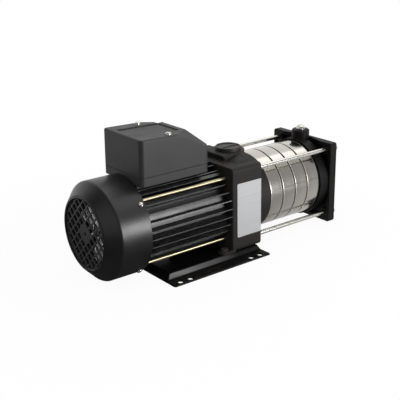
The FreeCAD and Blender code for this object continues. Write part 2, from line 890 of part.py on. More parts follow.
def fin_tip_radius(angle):
    """Fins beside a tie rod are shorter."""
    near_rod = min(abs(angle - 45), abs(angle + 45)) < short_fin_zone
    return short_fin_radius if near_rod else housing_fin_radius


def motor_housing():
    """Finned tube with a flat pad under the terminal box and a foot on the deck."""
    fins = []
    for angle in fin_angles():
        for side in (1, -1):
            fins.append(fin(angle, side, fin_tip_radius(angle), fin_root_thickness, fin_tip_thickness))
    for side in (1, -1):
        fins.append(fin(ledge_angle, side, housing_fin_radius, ledge_thickness, ledge_thickness))
    tube = bar_x(housing_start, head_start, housing_root_radius)
    pad = box(box_start + box_pad_inset, box_end - box_pad_inset, -box_pad_half_width, box_pad_half_width,
              shaft_height, box_floor_height)
    foot_start = housing_start + motor_foot_from_rim
    foot = box(foot_start, foot_start + motor_foot_length, -motor_foot_half_width, motor_foot_half_width,
               deck_height, shaft_height)
    finned = joined([tube] + fins)
    trim = box(housing_start, head_start, -housing_fin_radius, housing_fin_radius,
               deck_height + 1.2, box_floor_height)
    body = joined([finned.common(trim), pad, foot])
    cuts = [
        bar_x(housing_start - overlap, head_start + overlap, housing_bore_radius),
        bar_z(shaft_height, box_floor_height + overlap, wire_hole_radius, wire_x()),
    ]
    for x, y in base_bolt_places()[2:]:
        cuts.append(bar_z(0, foot_bolt_tip() + 0.5, base_bolt_radius + seat_gap, x, y))
    return without(body, cuts)


def wire_x():
    """Where the motor's leads pass from the housing into the terminal box."""
    return box_end - box_pad_inset - wire_hole_from_pad_end


def fin(angle, side, tip, root_thickness, tip_thickness):
    """One tapered fin of the extrusion, on the front side (1) or mirrored to the rear (-1)."""
    root = housing_root_radius - overlap
    corners = []
    for radius, half in ((root, -root_thickness / 2), (tip, -tip_thickness / 2),
                         (tip, tip_thickness / 2), (root, root_thickness / 2)):
        direction = math.radians(angle)
        y = -(radius * math.cos(direction) - half * math.sin(direction)) * side
        z = shaft_height + radius * math.sin(direction) + half * math.cos(direction)
        corners.append(Vector(housing_start, y, z))
    return prism(corners, ALONG_X * housing_length)


def rear_end_shield():
    """Dished end cover of the motor: bearing hub, ribs, register, and lugs for rods and cover screws."""
    web_start = housing_start - shield_thickness
    hub_outer = bearing_outer_radius + shield_hub_wall
    rim_in = shield_rim_radius - shield_rim_wall
    plate = ring_x(web_start, housing_start, shaft_radius + shaft_hole_gap, shield_rim_radius)
    rim = ring_x(shield_front, web_start + overlap, rim_in, shield_rim_radius)
    hub = ring_x(shield_front, web_start + overlap, shaft_radius + shaft_hole_gap, hub_outer)
    register = ring_x(housing_start - overlap, housing_start + register_length,
                      housing_bore_radius - register_wall, housing_bore_radius - seat_gap)
    pieces = [plate, rim, hub, register]
    for number in range(shield_rib_count):
        half = shield_rib_thickness / 2
        rib = box(shield_front + 2.0, web_start + overlap, -half, half,
                  shaft_height + hub_outer - overlap, shaft_height + rim_in + overlap)
        rib.rotate(Vector(0, 0, shaft_height), ALONG_X, 360 * (number + 0.5) / shield_rib_count)
        pieces.append(rib)
    inner_cover = cover_radius - cover_wall - seat_gap
    envelope = bar_x(shield_front, housing_start, inner_cover)
    lug_start = shield_front + shield_lug_setback
    for y, z in four_corners(motor_rod_offset):
        lug = bar_x(lug_start, housing_start, shield_lug_radius, y, z)
        pieces.append(lug.common(envelope))
    for angle in cover_screw_angles():
        lug = radial_bar(rim_in, inner_cover + overlap, shield_lug_radius - 1.5, angle)
        pieces.append(lug.common(envelope))
    cuts = [bar_x(rear_bearing_start, rear_bearing_start + bearing_width, bearing_outer_radius + seat_gap),
            bar_x(rear_bearing_start + bearing_width - overlap, housing_start + overlap,
                  bearing_outer_radius + seat_gap)]
    for y, z in four_corners(motor_rod_offset):
        cuts.append(bar_x(shield_front - overlap, housing_start + overlap,
                          motor_rod_radius + seat_gap, y, z))
        cuts.append(bar_x(shield_front - overlap, lug_start, motor_nut_across * 0.62, y, z))
    for angle in cover_screw_angles():
        cuts.append(radial_bar(cover_radius - cover_screw_length, cover_radius + overlap,
                               cover_screw_radius + seat_gap, angle))
    return without(joined(pieces), cuts)


def cover_screw_angles():
    """Angles of the screws that hold the fan cover, a quarter turn apart."""
    return [cover_screw_angle + 90 * step for step in range(4)]


def radial_bar(inner, outer, radius, angle):
    """A round bar that points away from the shaft at the cover screws' station."""
    y, z = polar(1.0, angle)
    outward = Vector(0, y, z - shaft_height)
    x = housing_start - cover_screw_setback
    return Part.makeCylinder(radius, outer - inner, Vector(x, 0, shaft_height) + outward * inner, outward)


def fan_cover():
    """Moulded cover: barrel, chamfered nose and a recessed lattice grille."""
    outer = turned([
        (housing_start, 0), (housing_start, cover_radius), (cover_nose_start, cover_radius),
        (cover_front, cover_face_radius), (cover_front, 0),
    ])
    outer = outer.makeFillet(cover_edge_radius, outer_rim(outer, cover_nose_start, cover_radius))
    outer = outer.makeFillet(cover_edge_radius / 3, outer_rim(outer, cover_front, cover_face_radius))
    grille_front = cover_front + grille_setback
    grille_back = grille_front + grille_thickness
    lean = cover_wall * 1.25
    inner = turned([
        (housing_start + overlap, 0), (housing_start + overlap, cover_radius - cover_wall),
        (cover_nose_start + lean / 2, cover_radius - cover_wall),
        (grille_back, cover_face_radius - cover_wall + (cover_radius - cover_face_radius) * 0.04),
        (grille_back, 0),
    ])
    bead = Part.makeTorus(grille_radius + grille_bead_offset, grille_bead_radius,
                          Vector(cover_front + grille_bead_radius / 3, 0, shaft_height), ALONG_X)
    outer = joined([outer, bead])
    recess = bar_x(cover_front - grille_bead_radius - overlap, grille_front,
                   grille_radius + grille_bead_offset - grille_bead_radius * 0.9)
    cuts = [inner, recess] + lattice_holes(grille_front, grille_back)
    for angle in cover_screw_angles():
        cuts.append(radial_bar(cover_radius - 3 * cover_wall, cover_radius + overlap,
                               cover_screw_radius + seat_gap, angle))
    return without(outer, cuts)


def lattice_holes(front, back):
    """Square openings of a lattice turned by 45 degrees, trimmed to the round grille and its hub."""
    opening = grille_pitch - grille_bar
    reach = int(grille_radius / grille_pitch) + 2
    ring = ring_x(front - overlap, back + overlap, grille_hub_radius, grille_radius)
    holes = []
    for row in range(-reach, reach):
        for column in range(-reach, reach):
            y = (row + 0.5) * grille_pitch
            z = (column + 0.5) * grille_pitch
            if math.hypot(y, z) > grille_radius + opening or math.hypot(y, z) < grille_hub_radius - opening:
                continue
            hole = box(front - overlap, back + overlap, y - opening / 2, y + opening / 2,
                       shaft_height + z - opening / 2, shaft_height + z + opening / 2)
            hole.rotate(Vector(0, 0, shaft_height), ALONG_X, 45)
            trimmed = hole.common(ring)
            holes += [solid for solid in trimmed.Solids if solid.Volume > 6.0]
    holes.append(bar_x(front - overlap, back + overlap, grille_hub_hole))
    return holes


def pan_screw(place, outward, radius, length, head_radius, head_height):
    """Pan-head screw: domed head outside place, shank running inwards."""
    head = Part.makeCylinder(head_radius, head_height, place, outward)
    rims = edges_where(head, lambda edge, middle: is_rim(edge)
                       and (edge.Curve.Center - place).Length > head_height / 2)
    head = head.makeFillet(head_height * 0.55, rims)
    shank = Part.makeCylinder(radius, length + head_height / 2, place - outward * length, outward)
    recess = Part.makeCone(head_radius * 0.22, head_radius * 0.34, head_height * 0.5,
                           place + outward * (head_height * 0.55), outward)
    return without(joined([head, shank]), [recess])


def fan_cover_screws():
    """Four screws that hold the fan cover to the end shield."""
    screws = []
    x = housing_start - cover_screw_setback
    for angle in cover_screw_angles():
        y, z = polar(1.0, angle)
        outward = Vector(0, y, z - shaft_height)
        place = Vector(x, 0, shaft_height) + outward * cover_radius
        screws.append(pan_screw(place, outward, cover_screw_radius, cover_screw_length - 0.5,
                                cover_screw_head_radius, cover_screw_head_height))
    return Part.makeCompound(screws)


def cooling_fan():
    """Straight-bladed fan with a back disc, pressed on the shaft."""
    bore = shaft_radius + seat_gap
    hub = ring_x(fan_front, fan_back, bore, fan_hub_radius)
    disc = ring_x(fan_back - fan_disc, fan_back, fan_hub_radius - overlap, fan_radius)
    blades = []
    side = -fan_blade_thickness / 2
    low = shaft_height + fan_hub_radius - overlap
    high = shaft_height + fan_radius - 1
    for number in range(fan_blade_count):
        blade = prism([
            Vector(fan_front + 2, side, low), Vector(fan_front, side, shaft_height + fan_radius * 0.6),
            Vector(fan_front + 5, side, high), Vector(fan_back - fan_disc / 2, side, high),
            Vector(fan_back - fan_disc / 2, side, low),
        ], ALONG_Y * fan_blade_thickness)
        blade.rotate(Vector(0, 0, shaft_height), ALONG_X, 360 * number / fan_blade_count)
        blades.append(blade)
    return joined([hub, disc] + blades)


def motor_tie_rods():
    """Long studs from the end shield's lugs into the head."""
    start = shield_front + shield_lug_setback - motor_nut_height - motor_rod_tail
    rods = [bar_x(start, head_start + motor_rod_in_head, motor_rod_radius, y, z)
            for y, z in four_corners(motor_rod_offset)]
    return Part.makeCompound(rods)


def motor_rod_nuts():
    """Nuts on the fan side of the lugs, with one flat facing the cover's wall."""
    nuts = []
    for y, z in four_corners(motor_rod_offset):
        start = shield_front + shield_lug_setback - motor_nut_height
        nut = hexagon(Vector(start, y, z), ALONG_X, motor_nut_across, motor_nut_height)
        nut.rotate(Vector(start, y, z), ALONG_X, -45 if (y > 0) == (z > shaft_height) else 45)
        nuts.append(without(nut, [bar_x(start - overlap, start + motor_nut_height + overlap,
                                        motor_rod_radius + seat_gap, y, z)]))
    return Part.makeCompound(nuts)


def pump_tie_rods():
    """Long studs from the head through the end plate."""
    end = plate_end + pump_washer_thickness + pump_nut_height + pump_rod_tail
    start = head_end - pump_rod_in_head
    rods = [bar_x(start, end, pump_rod_radius, y, z) for y, z in four_corners(pump_rod_offset)]
    return Part.makeCompound(rods)


def pump_rod_washers():
    """Washers under the nuts, on the end plate."""
    washers = []
    for y, z in four_corners(pump_rod_offset):
        washer = bar_x(plate_end, plate_end + pump_washer_thickness, pump_washer_radius, y, z)
        hole = bar_x(plate_end - overlap, plate_end + pump_washer_thickness + overlap,
                     pump_rod_radius + seat_gap, y, z)
        washers.append(without(washer, [hole]))
    return Part.makeCompound(washers)


def pump_rod_nuts():
    """Nuts that clamp the end plate."""
    nuts = []
    start = plate_end + pump_washer_thickness
    for y, z in four_corners(pump_rod_offset):
        nut = hexagon(Vector(start, y, z), ALONG_X, pump_nut_across, pump_nut_height)
        nuts.append(without(nut, [bar_x(start - overlap, start + pump_nut_height + overlap,
                                        pump_rod_radius + seat_gap, y, z)]))
    return Part.makeCompound(nuts)


def suction_casing():
    """Cast suction casing: round body with a nest, square end plate, vent boss and suction port."""
    wall_in = chamber_radius - chamber_wall
    nest_out = wall_in - seat_gap
    nest_in = nest_out - chamber_wall
    wall_start = casing_start + groove_width
    body = turned([
        (casing_start - nest_length, nest_in), (casing_start - nest_length, nest_out),
        (wall_start, nest_out), (wall_start, casing_radius),
        (plate_start + overlap, casing_radius), (plate_start + overlap, 0),
        (wall_start, 0), (wall_start, nest_in),
    ])
    wall_end = wall_start + end_wall
    plate_middle = shaft_height - end_plate_drop
    plate_top = plate_middle + end_plate_half
    plate = box(plate_start, plate_end, -end_plate_half, end_plate_half,
                plate_middle - end_plate_half, plate_top)
    plate = plate.makeFillet(end_plate_corner_radius,
                             edges_where(plate, lambda edge, middle: runs_along(edge, ALONG_X)))
    rims = edges_where(plate, lambda edge, middle: not runs_along(edge, ALONG_X))
    plate = plate.makeFillet(end_plate_edge_radius, rims)
    pocket_half = end_plate_half - end_plate_rim
    pocket_end = plate_start + end_plate_pocket_depth
    pocket = box(plate_start - overlap, pocket_end, -pocket_half, pocket_half,
                 plate_middle - pocket_half, plate_middle + pocket_half)
    pocket = pocket.makeFillet(4.0, edges_where(pocket, lambda edge, middle: runs_along(edge, ALONG_X)))
    low = plate_middle + pocket_half - overlap
    relief = prism([
        Vector(plate_start - overlap, -end_plate_relief_outer, low),
        Vector(pocket_end, -end_plate_relief_inner, low),
        Vector(pocket_end, end_plate_relief_inner, low),
        Vector(plate_start - overlap, end_plate_relief_outer, low),
    ], UP * (plate_top + overlap - low))
    plate = without(plate, [pocket, relief])
    posts = []
    for y, z in four_corners(pump_rod_offset):
        posts.append(bar_x(plate_start, plate_end - overlap, pump_washer_radius, y, z))
    boss = bar_z(shaft_height + casing_radius - 6, vent_boss_top, vent_boss_radius, vent_x)
    top = edges_where(boss, lambda edge, middle: is_rim(edge) and middle.z > vent_boss_top - 0.01)
    boss = boss.makeChamfer(vent_boss_chamfer, top)
    face = bar_x(plate_end - overlap, plate_end + suction_face_height, suction_face_radius)
    solid = joined([body, plate, boss, face] + posts)
    port_low = plate_end + suction_face_height - port_thread_length
    cavity = turned([
        (wall_end, 0), (wall_end, suction_cavity_radius), (port_low - 2, suction_cavity_radius),
        (port_low, port_radius), (port_low, 0),
    ])
    priming_low = shaft_height + suction_cavity_radius - 8
    cuts = [
        cavity,
        bar_x(casing_start - overlap, wall_end + overlap, eye_hole_radius),
        bar_x(port_low - overlap, plate_end + suction_face_height + overlap, port_radius),
        bar_z(priming_low, vent_boss_top + overlap, priming_hole_radius, vent_x),
        bar_z(shaft_height - casing_radius - overlap, shaft_height - suction_cavity_radius + 2,
              drain_plug_radius + seat_gap, vent_x - 4),
    ]
    for y, z in four_corners(pump_rod_offset):
        cuts.append(bar_x(plate_start - overlap, plate_end + overlap, pump_rod_radius + seat_gap, y, z))
    return without(solid, cuts)


def priming_plug():
    """Hexagon-head vent plug with a flange, a slot and a plain shank in the priming hole."""
    low = vent_boss_top
    flange = bar_z(low, low + plug_flange_height, plug_flange_radius, vent_x)
    seat = low + plug_flange_height
    top = seat + plug_head_height
    head = hexagon(Vector(vent_x, 0, seat - 0.2), UP, plug_across_flats, plug_head_height)
    crown_radius = plug_across_flats * 0.86
    crown = Part.makeSphere(crown_radius, Vector(vent_x, 0, top - crown_radius + 0.1))
    straight = bar_z(low, seat + plug_head_height * 0.5, plug_across_flats, vent_x)
    head = head.common(crown.fuse([straight]))
    shank = bar_z(low - plug_shank_length, low + overlap, priming_hole_radius - lift_gap, vent_x)
    slot = box(vent_x - plug_across_flats, vent_x + plug_across_flats,
               -plug_slot_width / 2, plug_slot_width / 2, top - plug_slot_depth - 0.2, top + overlap)
    return without(joined([flange, head, shank]), [slot])


def drain_plug():
    """Sunk socket plug at the lowest point of the suction casing."""
    x = vent_x - 4
    low = shaft_height - casing_radius + 1.0
    body = bar_z(low, low + drain_plug_length, drain_plug_radius, x)
    socket = hexagon(Vector(x, 0, low - overlap), UP, drain_socket_across, drain_plug_length / 2)
    return without(body, [socket])


def terminal_box_base():
    """Tray on the motor with posts for the cover's screws."""
    low = box_floor_height
    tray = box(box_start, box_end, -box_half_width, box_half_width, low, box_split)
    tray = tray.makeFillet(box_corner_radius, edges_where(tray, lambda edge, middle: runs_along(edge, UP)))
    reach = box_half_width - box_wall
    hollow = box(box_start + box_wall, box_end - box_wall, -reach, reach,
                 low + box_floor, box_split + overlap)
    hollow = hollow.makeFillet(box_corner_radius - box_wall,
                               edges_where(hollow, lambda edge, middle: runs_along(edge, UP)))
    posts = [bar_z(low + overlap, box_split, box_post_radius, x, y) for x, y in box_screw_places()]
    cuts = [bar_z(low - overlap, low + box_floor + overlap, wire_hole_radius, wire_x())]
    for x, y in box_screw_places():
        cuts.append(bar_z(box_split - box_screw_bite, box_split + overlap,
                          box_screw_radius + seat_gap, x, y))
    return without(joined([without(tray, [hollow])] + posts), cuts)


def box_screw_places():
    """X and Y of the two screws through the terminal box's cover."""
    x = box_start + box_screw_x
    y = box_half_width - box_screw_from_side
    return [(x, -y), (x, y)]


def box_top_at(x):
    """Height of the cover's top, which falls a little towards the head."""
    return box_top - box_top_fall * (x - box_start) / box_slope_start


def box_screw_seat():
    """Height of the level seats under the heads of the cover's screws."""
    return box_top_at(box_start + box_screw_x) - box_screw_seat_depth


def terminal_box_gasket():
    """Rubber ring in the joint between tray and cover."""
    reach = box_half_width - box_gasket_inset
    outer = box(box_start + box_gasket_inset, box_end - box_gasket_inset, -reach, reach,
                box_split, box_cover_bottom)
    outer = outer.makeFillet(box_corner_radius - box_gasket_inset,
                             edges_where(outer, lambda edge, middle: runs_along(edge, UP)))
    inner_reach = box_half_width - box_wall
    inner = box(box_start + box_wall, box_end - box_wall, -inner_reach, inner_reach,
                box_split - overlap, box_cover_bottom + overlap)
    inner = inner.makeFillet(box_corner_radius - box_wall,
                             edges_where(inner, lambda edge, middle: runs_along(edge, UP)))
    cuts = [inner] + [bar_z(box_split - overlap, box_cover_bottom + overlap, box_screw_radius + 0.4, x, y)
                      for x, y in box_screw_places()]
    return without(outer, cuts)


def cover_block(shrink):
    """The cover's outline as a block, drawn in by a wall, with a sloped end and two hipped corners."""
    start = box_start + shrink
    end = box_end - shrink
    half = box_half_width - shrink
    drop = box_floor_height + box_slope_end_height - shrink * 0.5
    slope_start = box_start + box_slope_start - shrink * 0.45
    slope_top = box_top_at(slope_start) - shrink
    top = box_top_at(start) - shrink
    side = prism([
        Vector(start, -half, box_cover_bottom), Vector(start + box_end_draft, -half, top),
        Vector(slope_start, -half, slope_top), Vector(end, -half, drop),
        Vector(end, -half, box_cover_bottom),
    ], ALONG_Y * (2 * half))
    uprights = edges_where(side, lambda edge, middle: not runs_along(edge, ALONG_Y)
                           and box_cover_bottom + 1 < middle.z < drop + 1 or runs_along(edge, UP))
    side = side.makeFillet(box_corner_radius - shrink * 0.9, uprights)
    if shrink < box_edge_radius:
        crown = edges_where(side, lambda edge, middle: middle.z > slope_top - 0.5
                            and middle.x < slope_start - 0.5)
        side = side.makeFillet(box_edge_radius - shrink, crown)
    hips = []
    for sign in (-1, 1):
        low = Vector(end + 0.01, sign * (half + 0.01), box_floor_height + box_hip_low_height)
        hip_start = box_start + box_hip_start
        back = Vector(hip_start, sign * (half + 0.01), box_top_at(hip_start) - shrink + 0.01)
        ridge = Vector(slope_start + 0.01, sign * (box_hip_half_width - shrink), slope_top + 0.01)
        hips.append(beyond_plane(low, back, ridge, box_length))
    return without(side, hips)


def beyond_plane(first, second, third, reach):
    """A large block whose underside lies in the plane of three points."""
    normal = (second - first).cross(third - first)
    if normal.z < 0:
        normal = normal * -1
    block = Part.makeBox(2 * reach, 2 * reach, reach, Vector(-reach, -reach, 0))
    block.Placement = FreeCAD.Placement(second, FreeCAD.Rotation(UP, normal))
    return block


def terminal_box_cover():
    """Deep moulded cover: sloped end, sunk panel on top, screw pockets and a hole for the gland."""
    shell = cover_block(0.0)
    cavity = cover_block(box_wall)
    cavity.translate(Vector(0, 0, -overlap / 2))
    panel_start = box_start + box_panel_margin
    panel_end = box_start + box_slope_start - box_panel_margin
    panel = prism([
        Vector(panel_start, -box_panel_half_width, box_top_at(panel_start) - box_panel_depth),
        Vector(panel_start, -box_panel_half_width, box_top + overlap),
        Vector(panel_end, -box_panel_half_width, box_top + overlap),
        Vector(panel_end, -box_panel_half_width, box_top_at(panel_end) - box_panel_depth),
    ], ALONG_Y * (2 * box_panel_half_width))
    panel = panel.makeFillet(3.0, edges_where(panel, lambda edge, middle: runs_along(edge, UP)))
    notch_start = box_start + box_slope_start - box_notch_from_slope
    notch_middle = notch_start + box_notch_width / 2
    notch_radius = box_notch_width ** 2 / 8 / box_notch_depth + box_notch_depth / 2
    notch = bar_y(box_panel_half_width - 2, box_half_width + overlap, notch_radius, notch_middle,
                  box_top_at(notch_middle) - box_notch_depth + notch_radius)
    seat = box_screw_seat()
    hollow = without(shell, [cavity])
    posts = []
    cuts = [panel, notch]
    for x, y in box_screw_places():
        posts.append(bar_z(box_cover_bottom, seat - box_wall / 2, box_post_radius, x, y))
        cuts.append(bar_z(box_cover_bottom - overlap, box_top + overlap, box_screw_radius + seat_gap, x, y))
        cuts.append(bar_z(seat, box_top + overlap, box_screw_seat_radius, x, y))
    gland_x, gland_z = gland_place()
    cuts.append(bar_y(box_half_width - 2 * box_wall, box_half_width + overlap, gland_hole_radius + seat_gap,
                      gland_x, gland_z))
    return without(joined([hollow] + posts), cuts)


def gland_place():
    """X and Z of the cable gland."""
    return box_start + gland_from_rim, box_floor_height + gland_height


def terminal_box_screws():
    """Two long screws through the cover into the tray's posts."""
    screws = []
    top = box_screw_seat()
    length = top - box_split + box_screw_bite - 0.5
    for x, y in box_screw_places():
        screws.append(pan_screw(Vector(x, y, top), UP, box_screw_radius, length,
                                box_screw_head_radius, box_screw_head_height))
    return Part.makeCompound(screws)


def run_capacitor():
    """Round capacitor with two tabs, lying in the tray."""
    start = box_start + box_wall + capacitor_from_wall
    z = box_floor_height + box_floor + capacitor_radius
    can = bar_x(start, start + capacitor_length, capacitor_radius, capacitor_y, z)
    can = can.makeChamfer(1.5, edges_where(can, lambda edge, middle: is_rim(edge)))
    tabs = []
    for side in (-1, 1):
        y = capacitor_y + side * capacitor_radius / 2
        tabs.append(box(start + capacitor_length - overlap, start + capacitor_length + capacitor_tab,
                        y - 0.4, y + 0.4, z - 3, z + 3))
    return joined([can] + tabs)


def capacitor_strap():
    """Steel strap over the capacitor, with a foot on the tray's floor at each side."""
    middle = box_start + box_wall + capacitor_from_wall + capacitor_length / 2
    floor = box_floor_height + box_floor
    z = floor + capacitor_radius
    inner = capacitor_radius + seat_gap
    outer = inner + strap_thickness
    low = middle - strap_width / 2
    high = middle + strap_width / 2
    ring = without(bar_x(low, high, outer, capacitor_y, z),
                   [bar_x(low - overlap, high + overlap, inner, capacitor_y, z)])
    arch = ring.common(box(low, high, capacitor_y - outer, capacitor_y + outer, z, z + outer))
    pieces = [arch]
    for side in (-1, 1):
        near = capacitor_y + side * inner
        far = capacitor_y + side * outer
        tip = far + side * strap_foot
        pieces.append(box(low, high, min(near, far), max(near, far), floor, z))
        pieces.append(box(low, high, min(near, tip), max(near, tip), floor, floor + strap_thickness))
    return joined(pieces)


def terminal_block():
    """Screw terminals on the tray's floor."""
    start = box_start + box_wall + block_from_wall
    floor = box_floor_height + box_floor
    body = box(start, start + block_length, block_y - block_width / 2, block_y + block_width / 2,
               floor, floor + block_height)
    cuts = []
    front = block_y - block_width / 2
    for number in range(block_ways):
        x = start + block_length * (number + 0.5) / block_ways
        cuts.append(bar_z(floor + block_height - 3, floor + block_height + overlap, 2.4, x, block_y))
        cuts.append(box(x - 2.2, x + 2.2, front - overlap, front + 5, floor + 2, floor + 7))
    return without(body, cuts)


def cable_gland():
    """Gland body screwed into the cover's rear wall, with its cap."""
    x, z = gland_place()
    wall = box_half_width
    flange = hexagon(Vector(x, wall, z), ALONG_Y, gland_across, gland_flange)
    cap = bar_y(wall + gland_flange - overlap, wall + gland_flange + gland_cap_length,
                gland_cap_radius, x, z)
    tip = edges_where(cap, lambda edge, middle: is_rim(edge) and middle.y > wall + gland_flange)
    cap = cap.makeChamfer(2.0, tip)
    thread = bar_y(wall - gland_thread_length, wall + overlap, gland_hole_radius, x, z)
    bore = bar_y(wall - gland_thread_length - overlap, wall + gland_flange + gland_cap_length + overlap,
                 gland_bore_radius, x, z)
    return without(joined([flange, cap, thread]), [bore])


def gland_nut():
    """Locknut on the gland's thread, inside the cover."""
    x, z = gland_place()
    end = box_half_width - box_wall
    nut = hexagon(Vector(x, end - gland_nut_thickness, z), ALONG_Y, gland_across, gland_nut_thickness)
    hole = bar_y(end - gland_nut_thickness - overlap, end + overlap, gland_hole_radius + seat_gap, x, z)
    return without(nut, [hole])


def main():
    """Make every sub-part."""
    os.makedirs(parts_folder, exist_ok=True)
    save("base_plate", base_plate())
    save("base_bolts", base_bolts())
    save("base_nuts", base_nuts())
    save("discharge_head", discharge_head())
    save("discharge_cap", discharge_cap())
    save("rating_plate", rating_plate())
    for number in range(stage_count):
        start = stage_start + number * stage_pitch
        save("stage_chamber_" + str(number + 1), stage_chamber(start))
        save("diffuser_" + str(number + 1), diffuser(start))
        save("impeller_" + str(number + 1), impeller(start))
    save("chamber_gaskets", chamber_gaskets())
    save("neck_rings", neck_rings())
    save("impeller_spacers", impeller_spacers())
    save("shaft", shaft())
    save("shaft_nut", shaft_nut())
    save("seal_seat", seal_seat())
    save("seal_seat_boot", seal_seat_boot())
    save("seal_head", seal_head())
    for name, start in (("front", front_bearing_start), ("rear", rear_bearing_start)):
        outer, inner, balls = bearing(start)
        save(name + "_bearing_outer_ring", outer)
        save(name + "_bearing_inner_ring", inner)
        save(name + "_bearing_balls", balls)
    save("suction_casing", suction_casing())
    save("priming_plug", priming_plug())
    save("drain_plug", drain_plug())
    save("pump_tie_rods", pump_tie_rods())
    save("pump_rod_washers", pump_rod_washers())
    save("pump_rod_nuts", pump_rod_nuts())
    save("motor_housing", motor_housing())
    save("stator_core", stator_core())
    save("stator_windings", stator_windings())
    save("rotor_core", rotor_core())
    save("rear_end_shield", rear_end_shield())
    save("motor_tie_rods", motor_tie_rods())
    save("motor_rod_nuts", motor_rod_nuts())
    save("cooling_fan", cooling_fan())
    save("fan_clip", fan_clip())
    save("fan_cover", fan_cover())
    save("fan_cover_screws", fan_cover_screws())
    save("terminal_box_base", terminal_box_base())
    save("terminal_box_gasket", terminal_box_gasket())
    save("terminal_box_cover", terminal_box_cover())
    save("terminal_box_screws", terminal_box_screws())
    save("terminal_block", terminal_block())
    save("run_capacitor", run_capacitor())
    save("capacitor_strap", capacitor_strap())
    save("cable_gland", cable_gland())
    save("gland_nut", gland_nut())


main()
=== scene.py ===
"""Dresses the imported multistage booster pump: finishes for every sub-part, fasteners, threads and the studio.

Metres. +X runs along the shaft from the fan to the suction port, and +Z is up.
"""

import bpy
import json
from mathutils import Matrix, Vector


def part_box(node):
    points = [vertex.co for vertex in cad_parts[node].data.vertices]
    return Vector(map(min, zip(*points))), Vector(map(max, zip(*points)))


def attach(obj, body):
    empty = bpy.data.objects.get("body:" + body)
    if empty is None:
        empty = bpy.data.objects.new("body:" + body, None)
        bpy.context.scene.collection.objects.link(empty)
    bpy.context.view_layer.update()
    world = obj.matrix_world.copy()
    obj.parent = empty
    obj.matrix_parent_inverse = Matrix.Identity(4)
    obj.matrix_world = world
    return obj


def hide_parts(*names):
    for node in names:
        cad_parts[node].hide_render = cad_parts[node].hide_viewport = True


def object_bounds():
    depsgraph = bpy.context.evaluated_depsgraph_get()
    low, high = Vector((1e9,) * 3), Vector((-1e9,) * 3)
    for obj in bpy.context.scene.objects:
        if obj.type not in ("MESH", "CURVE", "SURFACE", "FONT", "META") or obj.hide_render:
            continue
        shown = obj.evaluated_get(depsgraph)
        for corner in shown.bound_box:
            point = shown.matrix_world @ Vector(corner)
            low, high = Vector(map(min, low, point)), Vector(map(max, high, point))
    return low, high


bl_info = {
    "name": "Multistage Booster Pump",
    "version": (1, 0, 0),
    "blender": (4, 5, 0),
    "location": "View3D > Sidebar > Pump",
    "description": "Finishes, fasteners, threads and studio for a horizontal multistage booster pump",
    "category": "Add Mesh",
}

import json
import math

import bmesh
import bpy
from bpy.props import FloatProperty, FloatVectorProperty, IntProperty, PointerProperty
from mathutils import Matrix, Vector

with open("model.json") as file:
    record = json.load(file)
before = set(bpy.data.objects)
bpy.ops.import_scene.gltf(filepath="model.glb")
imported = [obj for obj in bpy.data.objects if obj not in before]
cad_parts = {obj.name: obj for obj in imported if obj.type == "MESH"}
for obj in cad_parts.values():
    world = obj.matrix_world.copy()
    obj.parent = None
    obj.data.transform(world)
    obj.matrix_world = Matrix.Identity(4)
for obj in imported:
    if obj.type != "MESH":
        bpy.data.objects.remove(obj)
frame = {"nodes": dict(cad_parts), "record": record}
CAD_LOW, CAD_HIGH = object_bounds()

MM = 0.001
FULL_TURN = 2.0 * math.pi
QUARTER_TURN = math.pi / 2
# Turn that lays the Z axis along the shaft
Z_ONTO_X = (0.0, QUARTER_TURN, 0.0)
# Vertices nearer than this are one, and heights nearer than the next are level
SAME_PLACE = 1e-7
SAME_HEIGHT = 1e-6

CASING = "casing"
SHAFT_HEIGHT = 75.0 * MM
# Open joint between two stages, where the rubber ring shows, the painted shade beside it and the rim with its
# painted highlight
STAGE_JOINT = 2.0 * MM
JOINT_SHADE_WIDTH = 1.5 * MM
RIM_WIDTH = 1.1 * MM
# Lattice disc in the fan cover's face, and the depth of the nose that it lies in
GRILLE_RADIUS = 51.0 * MM
GRILLE_DEPTH = 6.0 * MM

# Radius of the soft edges that the shaders round: paint, bare metal, stages, rods and the base plate's bends
PAINT_EDGE = 0.9 * MM
METAL_EDGE = 0.5 * MM
STAGE_EDGE = 0.2 * MM
ROD_EDGE = 0.1 * MM
BEND_EDGE = 4.5 * MM
EDGE_SAMPLES = 10

# Depth of the marks that tools leave, how coarse the streaks beside them are, and the scale of stacked sheets
MARK_DEPTH = 0.01 * MM
FINE_MARK_DEPTH = 0.001 * MM
STREAK_SCALE = 0.11
SHEET_SCALE = 320.0

# How much paler a paint is where it is worn, the colours of dust (on the housing painted top light as well), of
# the inlet's dust, of the painted highlight on the plate's bends, of the painted highlight on the stages' rims
# and of the painted shade beside their joints, and two roughnesses
WORN_PAINT = 4.5
DUST_AND_TOP_LIGHT = (0.17, 0.16, 0.15)
INLET_DUST = (0.15, 0.15, 0.15)
BEND_HIGHLIGHT = (0.34, 0.34, 0.34)
RIM_HIGHLIGHT_COLOUR = (0.74, 0.71, 0.66)
# Colour of the painted shade beside each stage joint
JOINT_SHADE_COLOUR = (0.012, 0.011, 0.010)
RIM_ROUGHNESS = 0.55
JOINT_SHADE_ROUGHNESS = 0.7
# Sub-parts whose finish differs from the rest of their slot; the suction casing's is a darker copy of the
# head's cast paint, painted shade
OWN_FINISHES = {"suction_casing": "casing_cast", "terminal_box_gasket": "box_plastic"}

# Chamfered nut: its face as a share of the size across the flats, and its countersink as shares of the hole
NUT_FACE = 0.485
NUT_CHAMFER = math.radians(30)
NUT_CLEARANCE = 1.02
COUNTERSINK_MOUTH = 1.12
COUNTERSINK_DEPTH = 0.12
STEPS_PER_SIDE = 8

